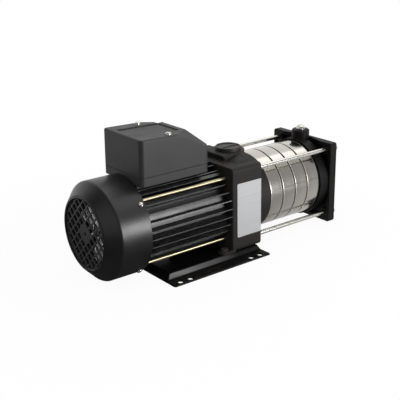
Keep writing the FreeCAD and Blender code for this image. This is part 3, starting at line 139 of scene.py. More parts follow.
# Pan-head screw: shares of its head's radius and height, and of its shank's radius at the tip
DOME_ANGLE = math.radians(72)
DOME_STEPS = 6
CROWN_SHARE = 0.42
RECESS_ARM = 0.42
RECESS_HALF_WIDTH = 0.085
RECESS_DEPTH = 0.55
RECESS_TAPER = 0.72
TIP_RADIUS = 0.4
TIP_LENGTH = 0.5
SCREW_STEPS = 48

# Threads: steps in a turn, sides of the ridge, and the ridge's size as a share of the pitch
THREAD_STEPS = 36
RIDGE_SIDES = 4
ROD_RIDGE = 0.3
PORT_RIDGE = 0.32

# How deep the head's slope is sunk in the head, and the steps round its soft edges
SHOULDER_SUNK = 1.5 * MM
SHOULDER_STEPS = 4

SOCKET_KINDS = {int: "NodeSocketInt", float: "NodeSocketFloat", tuple: "NodeSocketVector"}

# The photograph's camera, found by fitting the edges of the head, plate, rods, box and base
CAMERA_PLACE = (-0.71546, -0.96672, 0.51402)
CAMERA_RIGHT = (0.787755, -0.615759, -0.016799)
CAMERA_UP = (0.219494, 0.255114, 0.941668)
CAMERA_FOCAL_PIXELS = 824.17
PICTURE_PIXELS = 400.0
SENSOR_WIDTH_MM = 36.0
NEAREST_SEEN = 0.01

FLOOR_HALF = 3.0
FLOOR_ROUGHNESS = 0.9
# Floor's own level as the camera finds it, and the level that it lights the pump with from below
FLOOR_SEEN = 0.95
FLOOR_BOUNCE = 0.45
# Share of pure white laid over the floor close to the pump, where the shadow is, and where that share ends
SHADOW_WHITE = 0.94
SHADOW_REACH = (0.25, 0.6)
# Where the light's levels change: over the floor in metres, and over the room by direction
FLOOR_BEHIND = (0.0, 0.2)
FLOOR_ACROSS = (-0.25, 0.2)
ROOM_BEHIND = (0.1, 0.55)
ROOM_ACROSS = (-0.3, 0.6)
ROOM_SIDE = (-0.6, 0.1)
# Each lamp's name, place, size and the setting that holds its power
LAMPS = (
    ("key_lamp", (0.55, -1.17, 0.21), (0.46, 0.40), "key_power"),
    ("top_lamp", (0.45, -0.20, 1.30), (1.5, 1.2), "top_power"),
    ("left_lamp", (-1.30, -0.50, 0.60), (1.6, 1.1), "left_power"),
)


def colour_property(name, description, colour):
    """A colour that a user can change."""
    return FloatVectorProperty(name=name, description=description, subtype="COLOR", size=3,
                               min=0.0, max=1.0, default=colour)


def length_property(name, description, millimetres):
    """A length that a user can change, given in millimetres and kept in metres."""
    return FloatProperty(name=name, description=description, default=millimetres * MM,
                         min=0.0, unit="LENGTH", precision=4)


def power_property(name, description, watts):
    """A lamp's power that a user can change."""
    return FloatProperty(name=name, description=description, default=watts,
                         min=0.0, unit="POWER")


def level_property(name, description, level):
    """A level of light that a user can change, from black at 0 to white at 1."""
    return FloatProperty(name=name, description=description, default=level,
                         min=0.0, max=1.0, subtype="FACTOR")


class PumpColours(bpy.types.PropertyGroup):
    """Colours of the pump's finishes."""

    cover_paint: colour_property("Fan cover", "Satin paint of the fan cover", (0.006, 0.006, 0.0065))
    housing_paint: colour_property("Motor housing", "Paint of the finned housing", (0.004, 0.004, 0.0045))
    head_paint: colour_property("Discharge head", "Matte paint of the head", (0.0150, 0.0136, 0.0127))
    # A darker copy of the head's cast paint: painted shade on the suction casing
    casing_shaded_paint: colour_property("Suction casing", "Paint of the suction casing", (0.0035, 0.0033, 0.0031))
    plate_paint: colour_property("Base plate", "Paint of the pressed base plate", (0.0022, 0.0022, 0.0022))
    box_plastic: colour_property("Terminal box", "Moulded plastic of the box", (0.0215, 0.0215, 0.0215))
    stainless: colour_property("Stages", "Turned stainless steel of the stages", (0.59, 0.56, 0.515))
    rod_steel: colour_property("Pump rods", "Bright steel of the pump rods", (0.76, 0.74, 0.69))
    rod_zinc: colour_property("Motor rods", "Yellow zinc of the motor rods", (0.46, 0.415, 0.275))
    nameplate: colour_property("Rating plate", "Bare satin aluminium of the plate", (0.47, 0.475, 0.48))
    fan: colour_property("Cooling fan", "Moulded plastic of the cooling fan", (0.88, 0.88, 0.87))


class PumpSizes(bpy.types.PropertyGroup):
    """Sizes of the small parts that the finishing step makes."""

    rod_nut_across: length_property("Rod nut", "Pump rod nut across its flats", 13.0)
    rod_nut_height: length_property("Rod nut height", "Height of a pump rod nut", 6.5)
    rod_radius: length_property("Rod radius", "Radius of a pump rod", 3.6)
    rod_thread_pitch: length_property("Rod thread pitch", "Distance between turns of a rod's thread", 1.25)
    rod_thread_share: FloatProperty(name="Rod thread share", default=0.9, min=0.0, max=1.0, subtype="FACTOR",
                                    description="Share of a rod's bare end that has its thread")
    port_radius: length_property("Port radius", "Crest radius of the pipe ports", 15.15)
    port_thread_pitch: length_property("Port thread pitch", "Distance between turns of a pipe thread", 2.309)
    port_thread_length: length_property("Port thread length", "Length of a port's thread", 16.0)
    port_thread_inset: length_property("Port thread inset", "Depth of a port's thread below its mouth", 0.5)
    cover_screw_head: length_property("Cover screw head", "Radius of a fan cover screw's head", 4.0)
    cover_screw_rise: length_property("Cover screw rise", "Height of a fan cover screw's head", 2.6)
    cover_screw_shank: length_property("Cover screw shank", "Radius of a fan cover screw's shank", 2.0)
    cover_screw_length: length_property("Cover screw length", "Length of a fan cover screw's shank", 8.0)
    cover_screw_angle: FloatProperty(name="Cover screw angle", description="Turn of the first screw from +Y",
                                     default=math.radians(51.0), unit="ROTATION")
    box_screw_head: length_property("Box screw head", "Radius of a terminal box screw's head", 4.8)
    box_screw_rise: length_property("Box screw rise", "Height of a terminal box screw's head", 3.4)
    box_screw_shank: length_property("Box screw shank", "Radius of a terminal box screw's shank", 2.0)
    head_spigot: length_property("Head spigot", "Length of the head's spigot, up to the first stage", 23.5)
    shoulder_depth: length_property("Shoulder rib", "Depth of the rib behind the discharge boss", 12.0)
    shoulder_run: length_property("Shoulder run", "Length of the slope before that rib", 24.0)
    shoulder_foot: length_property("Shoulder foot", "Half the width of the slope's foot", 48.0)
    shoulder_crest: length_property("Shoulder crest", "Half the width of the slope's crest", 26.0)
    shoulder_splay: length_property("Shoulder splay", "Extra half width of the base below the crest", 5.0)
    shoulder_drop: length_property("Shoulder drop", "Distance from the boss's top down to the crest", 1.0)
    shoulder_lap: length_property("Shoulder lap", "How far the slope runs into the rib behind it", 0.5)
    shoulder_edge: length_property("Shoulder edge", "Width of the slope's rounded edges", 2.2)
    cover_screw_count: IntProperty(name="Cover screws", description="Screws round the fan cover",
                                   default=4, min=3, max=8)


class StudioSettings(bpy.types.PropertyGroup):
    """Brightness of the studio."""

    key_power: power_property("Key lamp", "Power of the low lamp on the right", 10.5)
    top_power: power_property("Top lamp", "Power of the lamp overhead", 5.4)
    left_power: power_property("Left lamp", "Power of the lamp on the left", 2.6)
    room_level: level_property("Room light", "Level of the light from all round", 0.30)
    side_level: level_property("Side light", "Level of the soft light from the fan's side", 1.0)
    right_level: level_property("Right level", "Level that shiny surfaces see in front, on the right", 0.38)
    left_level: level_property("Left level", "Level that shiny surfaces see in front, on the left", 0.08)


def feed(tree, socket, value):
    """Give an input a value, or a link where the value is itself a socket."""
    if isinstance(value, bpy.types.NodeSocket):
        tree.links.new(value, socket)
    else:
        socket.default_value = value


def feed_all(tree, node, values):
    """Feed several inputs of a node, by name."""
    for name, value in values.items():
        feed(tree, node.inputs[name], value)


def add_sockets(tree, in_out, sockets):
    """Put named sockets on a tree, each of the kind that its default has."""
    for label, default in sockets.items():
        socket = tree.interface.new_socket(name=label, in_out=in_out, socket_type=SOCKET_KINDS[type(default)])
        socket.default_value = default


def shader_group(name, inputs, outputs):
    """A shader node group with named inputs and outputs, ready to be filled."""
    tree = bpy.data.node_groups.new(name, "ShaderNodeTree")
    add_sockets(tree, "INPUT", inputs)
    add_sockets(tree, "OUTPUT", outputs)
    return tree, tree.nodes.new("NodeGroupInput").outputs, tree.nodes.new("NodeGroupOutput").inputs


def math_node(tree, operation, first, second=None):
    """A math node whose inputs are sockets or numbers."""
    node = tree.nodes.new("ShaderNodeMath")
    node.operation = operation
    feed(tree, node.inputs[0], first)
    if second is not None:
        feed(tree, node.inputs[1], second)
    return node.outputs[0]


def vector_math(tree, operation, first, second=None):
    """A vector math node's value."""
    node = tree.nodes.new("ShaderNodeVectorMath")
    node.operation = operation
    feed(tree, node.inputs[0], first)
    if second is not None:
        feed(tree, node.inputs[1], second)
    return node.outputs["Value"]


def inverse(tree, value):
    """1 less a value."""
    return math_node(tree, "SUBTRACT", 1.0, value)


def product(tree, *values):
    """The product of some sockets or numbers."""
    result = values[0]
    for value in values[1:]:
        result = math_node(tree, "MULTIPLY", result, value)
    return result


def ramp(tree, value, low, high):
    """Map a value from a range onto 0 to 1."""
    node = tree.nodes.new("ShaderNodeMapRange")
    feed_all(tree, node, {"Value": value, "From Min": low, "From Max": high})
    return node.outputs["Result"]


def between(tree, factor, low, high):
    """A value that runs from low to high, each a socket or a number, as a factor socket goes from 0 to 1."""
    node = tree.nodes.new("ShaderNodeMix")
    for slot, value in ((0, factor), (2, low), (3, high)):
        feed(tree, node.inputs[slot], value)
    return node.outputs[0]


def mix_colour(tree, factor, first, second):
    """Blend two colours, each a socket or an RGB value, by a factor socket."""
    node = tree.nodes.new("ShaderNodeMix")
    node.data_type = "RGBA"
    tree.links.new(factor, node.inputs["Factor"])
    for slot, value in ((6, first), (7, second)):
        feed(tree, node.inputs[slot], value if isinstance(value, bpy.types.NodeSocket) else (*value, 1.0))
    return node.outputs[2]


def combine(tree, x, y, z):
    """A vector from sockets or numbers."""
    node = tree.nodes.new("ShaderNodeCombineXYZ")
    for slot, value in enumerate((x, y, z)):
        feed(tree, node.inputs[slot], value)
    return node.outputs[0]


def parts_of(tree, vector):
    """The X, Y and Z of a vector socket."""
    node = tree.nodes.new("ShaderNodeSeparateXYZ")
    tree.links.new(vector, node.inputs[0])
    return node.outputs


def place_parts(tree):
    """The X, Y and Z of the object coordinates."""
    return parts_of(tree, tree.nodes.new("ShaderNodeTexCoord").outputs["Object"])


def facing_parts(tree):
    """The X, Y and Z of the way that the surface faces."""
    return parts_of(tree, tree.nodes.new("ShaderNodeNewGeometry").outputs["Normal"])


def object_place(tree, stretch=(1.0, 1.0, 1.0)):
    """Object coordinates, stretched along each axis where that is wanted."""
    place = tree.nodes.new("ShaderNodeTexCoord")
    mapping = tree.nodes.new("ShaderNodeMapping")
    feed_all(tree, mapping, {"Scale": stretch, "Vector": place.outputs["Object"]})
    return mapping.outputs["Vector"]


def noise(tree, vector, scale, detail, roughness=0.5):
    """A noise texture's value."""
    node = tree.nodes.new("ShaderNodeTexNoise")
    feed_all(tree, node, {"Vector": vector, "Scale": scale, "Detail": detail, "Roughness": roughness})
    return node.outputs["Fac"]


def bump(tree, height, normal, strength, distance):
    """A bump node, on top of another normal where there is one."""
    node = tree.nodes.new("ShaderNodeBump")
    feed_all(tree, node, {"Strength": strength, "Distance": distance, "Height": height})
    if normal is not None:
        tree.links.new(normal, node.inputs["Normal"])
    return node.outputs["Normal"]


def soft_edges_group():
    """Rounded normals at sharp edges, and a mask of those edges."""
    tree, given, out = shader_group(
        "Soft Edges", {"Radius": PAINT_EDGE}, {"Normal": (0.0, 0.0, 0.0), "Edge": 0.0})
    bevel = tree.nodes.new("ShaderNodeBevel")
    bevel.samples = EDGE_SAMPLES
    tree.links.new(given["Radius"], bevel.inputs["Radius"])
    rounded = bevel.outputs["Normal"]
    flat = tree.nodes.new("ShaderNodeNewGeometry").outputs["Normal"]
    turned_away = inverse(tree, vector_math(tree, "DOT_PRODUCT", rounded, flat))
    tree.links.new(rounded, out["Normal"])
    tree.links.new(ramp(tree, turned_away, 0.02, 0.25), out["Edge"])
    return tree


def grain_group():
    """Fine and coarse unevenness of a cast, moulded or sprayed surface."""
    tree, given, out = shader_group(
        "Surface Grain", {"Scale": 900.0, "Patch Scale": 22.0}, {"Height": 0.0, "Patches": 0.0})
    place = object_place(tree)
    patches = noise(tree, place, given["Patch Scale"], detail=4.0, roughness=0.55)
    tree.links.new(noise(tree, place, given["Scale"], detail=3.0, roughness=0.6), out["Height"])
    tree.links.new(ramp(tree, patches, 0.3, 0.7), out["Patches"])
    return tree


def tool_marks_group(name, stretch):
    """Fine parallel lines left by turning, drawing or brushing, one way or the other by the stretch."""
    tree, given, out = shader_group(name, {"Scale": 1.0}, {"Height": 0.0, "Streaks": 0.0})
    place = object_place(tree, stretch)
    wide = noise(tree, place, product(tree, given["Scale"], STREAK_SCALE), detail=2.0)
    tree.links.new(noise(tree, place, given["Scale"], detail=4.0, roughness=0.7), out["Height"])
    tree.links.new(ramp(tree, wide, 0.3, 0.7), out["Streaks"])
    return tree


def dust_and_top_light_group():
    """Dust that has settled on surfaces that face up; where its amount is raised, as on the housing, it is also
    painted top light on those faces.
    """
    tree, given, out = shader_group("Settled Dust", {"Amount": 0.3}, {"Mask": 0.0})
    upward = ramp(tree, facing_parts(tree)["Z"], 0.35, 1.0)
    specks = ramp(tree, noise(tree, object_place(tree), scale=160.0, detail=5.0, roughness=0.7), 0.42, 0.75)
    tree.links.new(product(tree, upward, specks, given["Amount"]), out["Mask"])
    return tree


def rim_bands_group():
    """Masks of the rim's painted highlight and of the painted shade before the joint, which return with every
    stage along the shaft.
    """
    tree, given, out = shader_group(
        "Rim Bands", {"Start": 0.0, "Pitch": 0.03, "Rim": 0.002, "Joint": 0.001}, {"Rim": 0.0, "Joint": 0.0})
    along = math_node(tree, "SUBTRACT", place_parts(tree)["X"], given["Start"])
    wrapped = math_node(tree, "FLOORED_MODULO", along, given["Pitch"])
    left = math_node(tree, "SUBTRACT", given["Pitch"], wrapped)
    past_rim = math_node(tree, "DIVIDE", wrapped, given["Rim"])
    before_joint = math_node(tree, "DIVIDE", left, given["Joint"])
    tree.links.new(inverse(tree, ramp(tree, past_rim, 0.7, 1.0)), out["Rim"])
    tree.links.new(inverse(tree, ramp(tree, before_joint, 0.75, 1.0)), out["Joint"])
    return tree


def inlet_dust_group():
    """Dust that the drawn air leaves on the face of the fan cover, inside a circle about the shaft."""
    tree, given, out = shader_group(
        "Inlet Dust", {"Radius": 0.05, "Station": 0.0, "Amount": 0.3}, {"Mask": 0.0})
    place = place_parts(tree)
    rise = math_node(tree, "SUBTRACT", place["Z"], SHAFT_HEIGHT)
    squares = math_node(tree, "ADD", product(tree, rise, rise), product(tree, place["Y"], place["Y"]))
    reach = math_node(tree, "DIVIDE", math_node(tree, "SQRT", squares), given["Radius"])
    inside = inverse(tree, ramp(tree, reach, 0.99, 1.02))
    ahead = math_node(tree, "LESS_THAN", place["X"], given["Station"])
    tree.links.new(product(tree, inside, ahead, given["Amount"]), out["Mask"])
    return tree


def bend_highlight_group():
    """A painted highlight on the sloped bends of a pressed plate, where they face sideways and up, strongest
    near one end.
    """
    tree, given, out = shader_group(
        "Scuffed Bends", {"Start": 0.0, "End": 0.1, "Amount": 0.3}, {"Mask": 0.0})
    facing = facing_parts(tree)
    sideways = ramp(tree, math_node(tree, "ABSOLUTE", facing["Y"]), 0.2, 0.5)
    upward = ramp(tree, facing["Z"], 0.3, 0.6)
    along = math_node(tree, "SUBTRACT", place_parts(tree)["X"], given["Start"])
    length = math_node(tree, "SUBTRACT", given["End"], given["Start"])
    fading = inverse(tree, ramp(tree, math_node(tree, "DIVIDE", along, length), 0.0, 0.75))
    patches = ramp(tree, noise(tree, object_place(tree, (0.2, 1.0, 1.0)), scale=60.0, detail=3.0), 0.1, 0.6)
    tree.links.new(product(tree, sideways, upward, fading, patches, given["Amount"]), out["Mask"])
    return tree


def build_shader_groups():
    """Make the shared effects once, by name."""
    return {
        "edges": soft_edges_group(),
        "grain": grain_group(),
        "turned": tool_marks_group("Turned Marks", (5200.0, 18.0, 18.0)),
        "drawn": tool_marks_group("Drawn Marks", (14.0, 3600.0, 3600.0)),
        "brushed": tool_marks_group("Brushed Marks", (30.0, 3000.0, 5200.0)),
        "dust_and_top_light": dust_and_top_light_group(),
        "rims": rim_bands_group(),
        "inlet": inlet_dust_group(),
        "bend_highlight": bend_highlight_group(),
    }


groups = build_shader_groups()
finishes = {}


def place_group(tree, key, **values):
    """Put a shared effect into a material, with its own values, and give its outputs."""
    node = tree.nodes.new("ShaderNodeGroup")
    node.node_tree = groups[key]
    feed_all(tree, node, {name.replace("_", " ").title(): value for name, value in values.items()})
    return node.outputs


def scaled(colour, factor):
    """A colour made lighter or darker, kept within range."""
    return tuple(min(1.0, channel * factor) for channel in colour)


def blank_material(name):
    """A new material, its tree and its shader."""
    material = bpy.data.materials.new(name)
    material.use_nodes = True
    tree = material.node_tree
    return material, tree, tree.nodes["Principled BSDF"]


def overlay(tree, shader, name, blend, mask, value):
    """Blend a value over what feeds an input of the shader so far, by a mask."""
    before = shader.inputs[name].links[0].from_socket
    tree.links.new(blend(tree, mask, before, value), shader.inputs[name])


def coated(name, colour, roughness, grain_scale, grain_depth, edge_wear_and_highlight=0.25, dust_and_top_light=0.2, specular=0.35,
           variation=0.25, worn_and_lit_edge_colour=None, edge_radius=PAINT_EDGE):
    """Paint or moulded plastic: grain, patchy tone, paler worn edges and a little dust; on the housing the
    paler fin edges are a painted highlight and the paler upward faces painted top light too.
    """
    material, tree, shader = blank_material(name)
    edges = place_group(tree, "edges", radius=edge_radius)
    grain = place_group(tree, "grain", scale=grain_scale)
    dust_and_top_light_marks = place_group(tree, "dust_and_top_light", amount=dust_and_top_light)
    darker, paler = scaled(colour, 1.0 - variation), scaled(colour, 1.0 + variation)
    tone = mix_colour(tree, grain["Patches"], darker, paler)
    # Paler edges: wear, and on the housing's fins a painted highlight
    worn_and_lit_edges = product(tree, edges["Edge"], edge_wear_and_highlight)
    edged = mix_colour(tree, worn_and_lit_edges, tone, worn_and_lit_edge_colour or scaled(colour, WORN_PAINT))
    feed_all(tree, shader, {
        # Paler upward faces: dust, and on the housing painted top light
        "Base Color": mix_colour(tree, dust_and_top_light_marks["Mask"], edged, DUST_AND_TOP_LIGHT),
        "Roughness": between(tree, grain["Patches"], *roughness),
        "Normal": bump(tree, grain["Height"], edges["Normal"], strength=0.5, distance=grain_depth),
        "Specular IOR Level": specular,
    })
    return material


def machined(name, colour, roughness, marks="turned", mark_depth=MARK_DEPTH, metallic=1.0, mark_scale=1.0,
             edge_radius=METAL_EDGE):
    """Bare metal with the marks of the tool that made it."""
    material, tree, shader = blank_material(name)
    edges = place_group(tree, "edges", radius=edge_radius)
    lines = place_group(tree, marks, scale=mark_scale)
    grain = place_group(tree, "grain", scale=260.0, patch_scale=14.0)
    tone = mix_colour(tree, lines["Streaks"], scaled(colour, 0.9), scaled(colour, 1.06))
    feed_all(tree, shader, {
        "Base Color": mix_colour(tree, grain["Patches"], tone, scaled(colour, 0.94)),
        "Roughness": between(tree, lines["Streaks"], *roughness),
        "Normal": bump(tree, lines["Height"], edges["Normal"], strength=0.6, distance=mark_depth),
        "Metallic": metallic,
    })
    return material


def lit_rims_and_shaded_joints(material, start, pitch, rim, joint):
    """Give a metal, at every stage, a rougher rim with a painted highlight, and painted shade before the joint,
    where it is no longer metal.
    """
    tree = material.node_tree
    shader = tree.nodes["Principled BSDF"]
    bands = place_group(tree, "rims", start=start, pitch=pitch, rim=rim, joint=joint)
    # Lighter rim colour: a painted highlight; the rim's higher roughness is its own
    overlay(tree, shader, "Base Color", mix_colour, bands["Rim"], RIM_HIGHLIGHT_COLOUR)
    # Darker band before each joint, where the metal turns to a dark dielectric: painted shade
    overlay(tree, shader, "Base Color", mix_colour, bands["Joint"], JOINT_SHADE_COLOUR)
    overlay(tree, shader, "Roughness", between, bands["Rim"], RIM_ROUGHNESS)
    overlay(tree, shader, "Roughness", between, bands["Joint"], JOINT_SHADE_ROUGHNESS)
    tree.links.new(inverse(tree, bands["Joint"]), shader.inputs["Metallic"])
    return material


def marked(material, key, colour, **values):
    """Lay the mask of a shared effect over a paint, in one colour: the inlet's dust, and the painted highlight
    on the plate's bends.
    """
    tree = material.node_tree
    marks = place_group(tree, key, **values)
    overlay(tree, tree.nodes["Principled BSDF"], "Base Color", mix_colour, marks["Mask"], colour)
    return material


def laminated(name, colour):
    """A stack of thin steel sheets, with dark gaps between them."""
    material, tree, shader = blank_material(name)
    place = tree.nodes.new("ShaderNodeTexCoord")
    sheets = tree.nodes.new("ShaderNodeTexWave")
    sheets.wave_type = "BANDS"
    sheets.bands_direction = "X"
    feed_all(tree, sheets, {"Scale": SHEET_SCALE, "Vector": place.outputs["Object"]})
    grain = place_group(tree, "grain", scale=700.0)
    tone = mix_colour(tree, sheets.outputs["Fac"], scaled(colour, 0.45), colour)
    feed_all(tree, shader, {
        "Base Color": mix_colour(tree, grain["Patches"], tone, scaled(colour, 0.8)),
        "Roughness": between(tree, grain["Patches"], 0.35, 0.55),
        "Normal": bump(tree, sheets.outputs["Fac"], None, strength=0.4, distance=0.1 * MM),
        "Metallic": 0.8,
    })
    return material


def wound(name, colour):
    """Varnished copper wire, laid round the shaft."""
    material, tree, shader = blank_material(name)
    strands = place_group(tree, "turned", scale=0.35)
    grain = place_group(tree, "grain", scale=420.0)
    tone = mix_colour(tree, strands["Height"], scaled(colour, 0.4), scaled(colour, 1.3))
    feed_all(tree, shader, {
        "Base Color": mix_colour(tree, grain["Patches"], tone, scaled(colour, 0.8)),
        "Roughness": between(tree, grain["Patches"], 0.25, 0.4),
        "Normal": bump(tree, strands["Height"], None, strength=0.8, distance=0.4 * MM),
        "Metallic": 0.6,
    })
    return material


def make_paints(colours):
    """Finishes of the painted sub-parts, by slot."""
    base_low, base_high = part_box("base_plate")
    cover = coated("Satin Cover Paint", colours.cover_paint, roughness=(0.34, 0.42), grain_scale=700.0,
                   grain_depth=0.03 * MM, edge_wear_and_highlight=0.10, dust_and_top_light=0.03, specular=0.54)
    base = coated("Base Plate Paint", colours.plate_paint, roughness=(0.30, 0.40), grain_scale=800.0,
                  grain_depth=0.02 * MM, edge_wear_and_highlight=0.1, dust_and_top_light=0.03, specular=0.14, edge_radius=BEND_EDGE)
    return {
        "black_cover": marked(cover, "inlet", INLET_DUST, radius=GRILLE_RADIUS,
                              station=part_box("fan_cover")[0].x + GRILLE_DEPTH, amount=0.18),
        # Housing: its dust on the upward faces is raised as painted top light
        "black_housing": coated("Housing Paint", colours.housing_paint, roughness=(0.30, 0.40),
                                grain_scale=900.0, grain_depth=0.03 * MM, edge_wear_and_highlight=0.8, dust_and_top_light=0.30, specular=0.72,
                                # Pale fin edges: a painted highlight along the fin tips
                                worn_and_lit_edge_colour=(0.17, 0.17, 0.172)),
        "black_cast": coated("Head Paint", colours.head_paint, roughness=(0.50, 0.64), grain_scale=420.0,
                             grain_depth=0.10 * MM, edge_wear_and_highlight=0.30, dust_and_top_light=0.10, specular=0.2),
        # A darker copy of the head's cast paint for the suction casing: painted shade
        "casing_cast": coated("Suction Casing Paint", colours.casing_shaded_paint, roughness=(0.42, 0.56),
                              grain_scale=420.0, grain_depth=0.08 * MM, edge_wear_and_highlight=0.50, dust_and_top_light=0.08, specular=0.14,
                              worn_and_lit_edge_colour=(0.07, 0.068, 0.065)),
        # Painted highlight on the base plate's sloped bends, fading away from the fan's end
        "black_steel": marked(base, "bend_highlight", BEND_HIGHLIGHT, start=base_low.x, end=base_high.x, amount=0.75),
    }


def make_mouldings(colours):
    """Finishes of the plastic, rubber and ceramic sub-parts, by slot."""
    return {
        "box_plastic": coated("Terminal Box Plastic", colours.box_plastic, roughness=(0.46, 0.56),
                              grain_scale=1500.0, grain_depth=0.04 * MM, edge_wear_and_highlight=0.12, dust_and_top_light=0.14, specular=0.4,
                              variation=0.12),
        "black_cap": coated("Cap Plastic", colours.head_paint, roughness=(0.44, 0.56), grain_scale=1200.0,
                            grain_depth=0.03 * MM, edge_wear_and_highlight=0.15, dust_and_top_light=0.2, specular=0.4, variation=0.15),
        "gland_plastic": coated("Gland Plastic", (0.03, 0.03, 0.03), roughness=(0.38, 0.5),
                                grain_scale=1200.0, grain_depth=0.03 * MM, edge_wear_and_highlight=0.1),
        "fan_plastic": coated("Fan Plastic", colours.fan, roughness=(0.42, 0.55), grain_scale=1100.0,
                              grain_depth=0.03 * MM, edge_wear_and_highlight=0.05, dust_and_top_light=0.3, variation=0.08),
        "impeller_plastic": coated("Impeller Plastic", (0.10, 0.10, 0.10), roughness=(0.4, 0.5),
                                   grain_scale=1000.0, grain_depth=0.03 * MM),
        "diffuser_plastic": coated("Diffuser Plastic", (0.07, 0.07, 0.07), roughness=(0.4, 0.5),
                                   grain_scale=1000.0, grain_depth=0.03 * MM),
        "block_plastic": coated("Terminal Plastic", (0.62, 0.58, 0.46), roughness=(0.4, 0.5),
                                grain_scale=1100.0, grain_depth=0.03 * MM, edge_wear_and_highlight=0.0, variation=0.06),
        "capacitor_white": coated("Capacitor Plastic", (0.70, 0.70, 0.68), roughness=(0.25, 0.35),
                                  grain_scale=900.0, grain_depth=0.02 * MM, edge_wear_and_highlight=0.0, variation=0.05),
        "ceramic_white": coated("Seal Ceramic", (0.74, 0.71, 0.66), roughness=(0.14, 0.22),
                                grain_scale=1800.0, grain_depth=0.01 * MM, edge_wear_and_highlight=0.0, variation=0.04),
        "black_rubber": coated("Joint Rubber", (0.014, 0.014, 0.014), roughness=(0.7, 0.85),
                               grain_scale=1400.0, grain_depth=0.03 * MM, edge_wear_and_highlight=0.0, dust_and_top_light=0.35, specular=0.3),
    }


def make_metals(colours):
    """Finishes of the bare metal sub-parts, by slot."""
    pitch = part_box("stage_chamber_2")[0].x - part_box("stage_chamber_1")[0].x
    sheet = machined("Turned Stainless", colours.stainless, (0.12, 0.20), mark_depth=FINE_MARK_DEPTH,
                     edge_radius=STAGE_EDGE)
    return {
        # Stainless with a painted highlight on each stage's rim and painted shade beside each joint
        "stainless": lit_rims_and_shaded_joints(sheet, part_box("chamber_gaskets")[0].x + STAGE_JOINT, pitch, RIM_WIDTH,
                                  STAGE_JOINT + JOINT_SHADE_WIDTH),
        "bright_rod": machined("Bright Rod", colours.rod_steel, (0.20, 0.30), "drawn", FINE_MARK_DEPTH,
                               edge_radius=ROD_EDGE),
        "gold_rod": machined("Zinc Rod", colours.rod_zinc, (0.34, 0.44), "drawn", FINE_MARK_DEPTH,
                             edge_radius=ROD_EDGE),
        "plate_aluminium": machined("Nameplate Aluminium", colours.nameplate, (0.42, 0.55), "brushed",
                                    metallic=0.25),
        "zinc_steel": machined("Zinc Steel", (0.55, 0.54, 0.52), (0.28, 0.42), mark_scale=0.6),
        "black_screw": machined("Blackened Steel", (0.05, 0.05, 0.05), (0.34, 0.46), metallic=0.4),
        "bright_screw": machined("Bright Screw", (0.72, 0.71, 0.68), (0.18, 0.28)),
        "plug_nickel": machined("Nickel Plug", (0.72, 0.69, 0.64), (0.16, 0.26)),
        "shaft_steel": machined("Ground Shaft", (0.58, 0.58, 0.58), (0.15, 0.24)),
        "bearing_steel": machined("Bearing Steel", (0.66, 0.66, 0.67), (0.08, 0.14), mark_depth=0.005 * MM),
        "carbon_steel": machined("Seal Steel", (0.30, 0.30, 0.30), (0.25, 0.35)),
        "cast_aluminium": machined("Cast Aluminium", (0.48, 0.48, 0.48), (0.42, 0.58), "brushed", 0.03 * MM,
                                   mark_scale=0.2),
        "lamination": laminated("Stacked Sheets", (0.30, 0.30, 0.31)),
        "copper_winding": wound("Varnished Copper", (0.52, 0.22, 0.08)),
    }


def dress_nodes(made):
    """Keep some finishes by their slot, and give them to the CAD sub-parts that use those slots."""
    finishes.update(made)
    for part in frame["record"]["subparts"]:
        if part["material_slot"] not in made:
            continue
        piece = frame["nodes"][part["node"]]
        finish = finishes[OWN_FINISHES.get(part["node"], part["material_slot"])]
        if piece.material_slots:
            piece.material_slots[0].material = finish
        else:
            piece.data.materials.append(finish)


def pattern_tree(name, inputs):
    """A geometry node tree with the piece's mesh, named sizes and a finish as input, and a mesh as output."""
    tree = bpy.data.node_groups.new(name, "GeometryNodeTree")
    tree.interface.new_socket(name="Piece", in_out="INPUT", socket_type="NodeSocketGeometry")
    add_sockets(tree, "INPUT", inputs)
    tree.interface.new_socket(name="Finish", in_out="INPUT", socket_type="NodeSocketMaterial")
    tree.interface.new_socket(name="Pieces", in_out="OUTPUT", socket_type="NodeSocketGeometry")
    return tree, tree.nodes.new("NodeGroupInput").outputs, tree.nodes.new("NodeGroupOutput").inputs


def finish_tree(tree, given, out, geometry):
    """End a tree in Realize Instances and Set Material."""
    realize = tree.nodes.new("GeometryNodeRealizeInstances")
    paint = tree.nodes.new("GeometryNodeSetMaterial")
    tree.links.new(geometry, realize.inputs[0])
    tree.links.new(realize.outputs[0], paint.inputs["Geometry"])
    tree.links.new(given["Finish"], paint.inputs["Material"])
    tree.links.new(paint.outputs[0], out[0])
    return tree


def square_pattern_tree():
    """Copies of a piece at the four corners of a square about the shaft."""
    tree, given, out = pattern_tree(
        "Square Pattern", {"Offset": 0.05, "Station": 0.0, "Shaft Height": SHAFT_HEIGHT})
    side = product(tree, given["Offset"], 2.0)
    grid = tree.nodes.new("GeometryNodeMeshGrid")
    feed_all(tree, grid, {"Vertices X": 2, "Vertices Y": 2, "Size X": side, "Size Y": side})
    stand = tree.nodes.new("GeometryNodeTransform")
    feed_all(tree, stand, {
        "Geometry": grid.outputs["Mesh"],
        "Translation": combine(tree, given["Station"], 0.0, given["Shaft Height"]),
        "Rotation": Z_ONTO_X,
    })
    copies = tree.nodes.new("GeometryNodeInstanceOnPoints")
    feed_all(tree, copies, {"Points": stand.outputs[0], "Instance": given["Piece"]})
    return finish_tree(tree, given, out, copies.outputs[0])


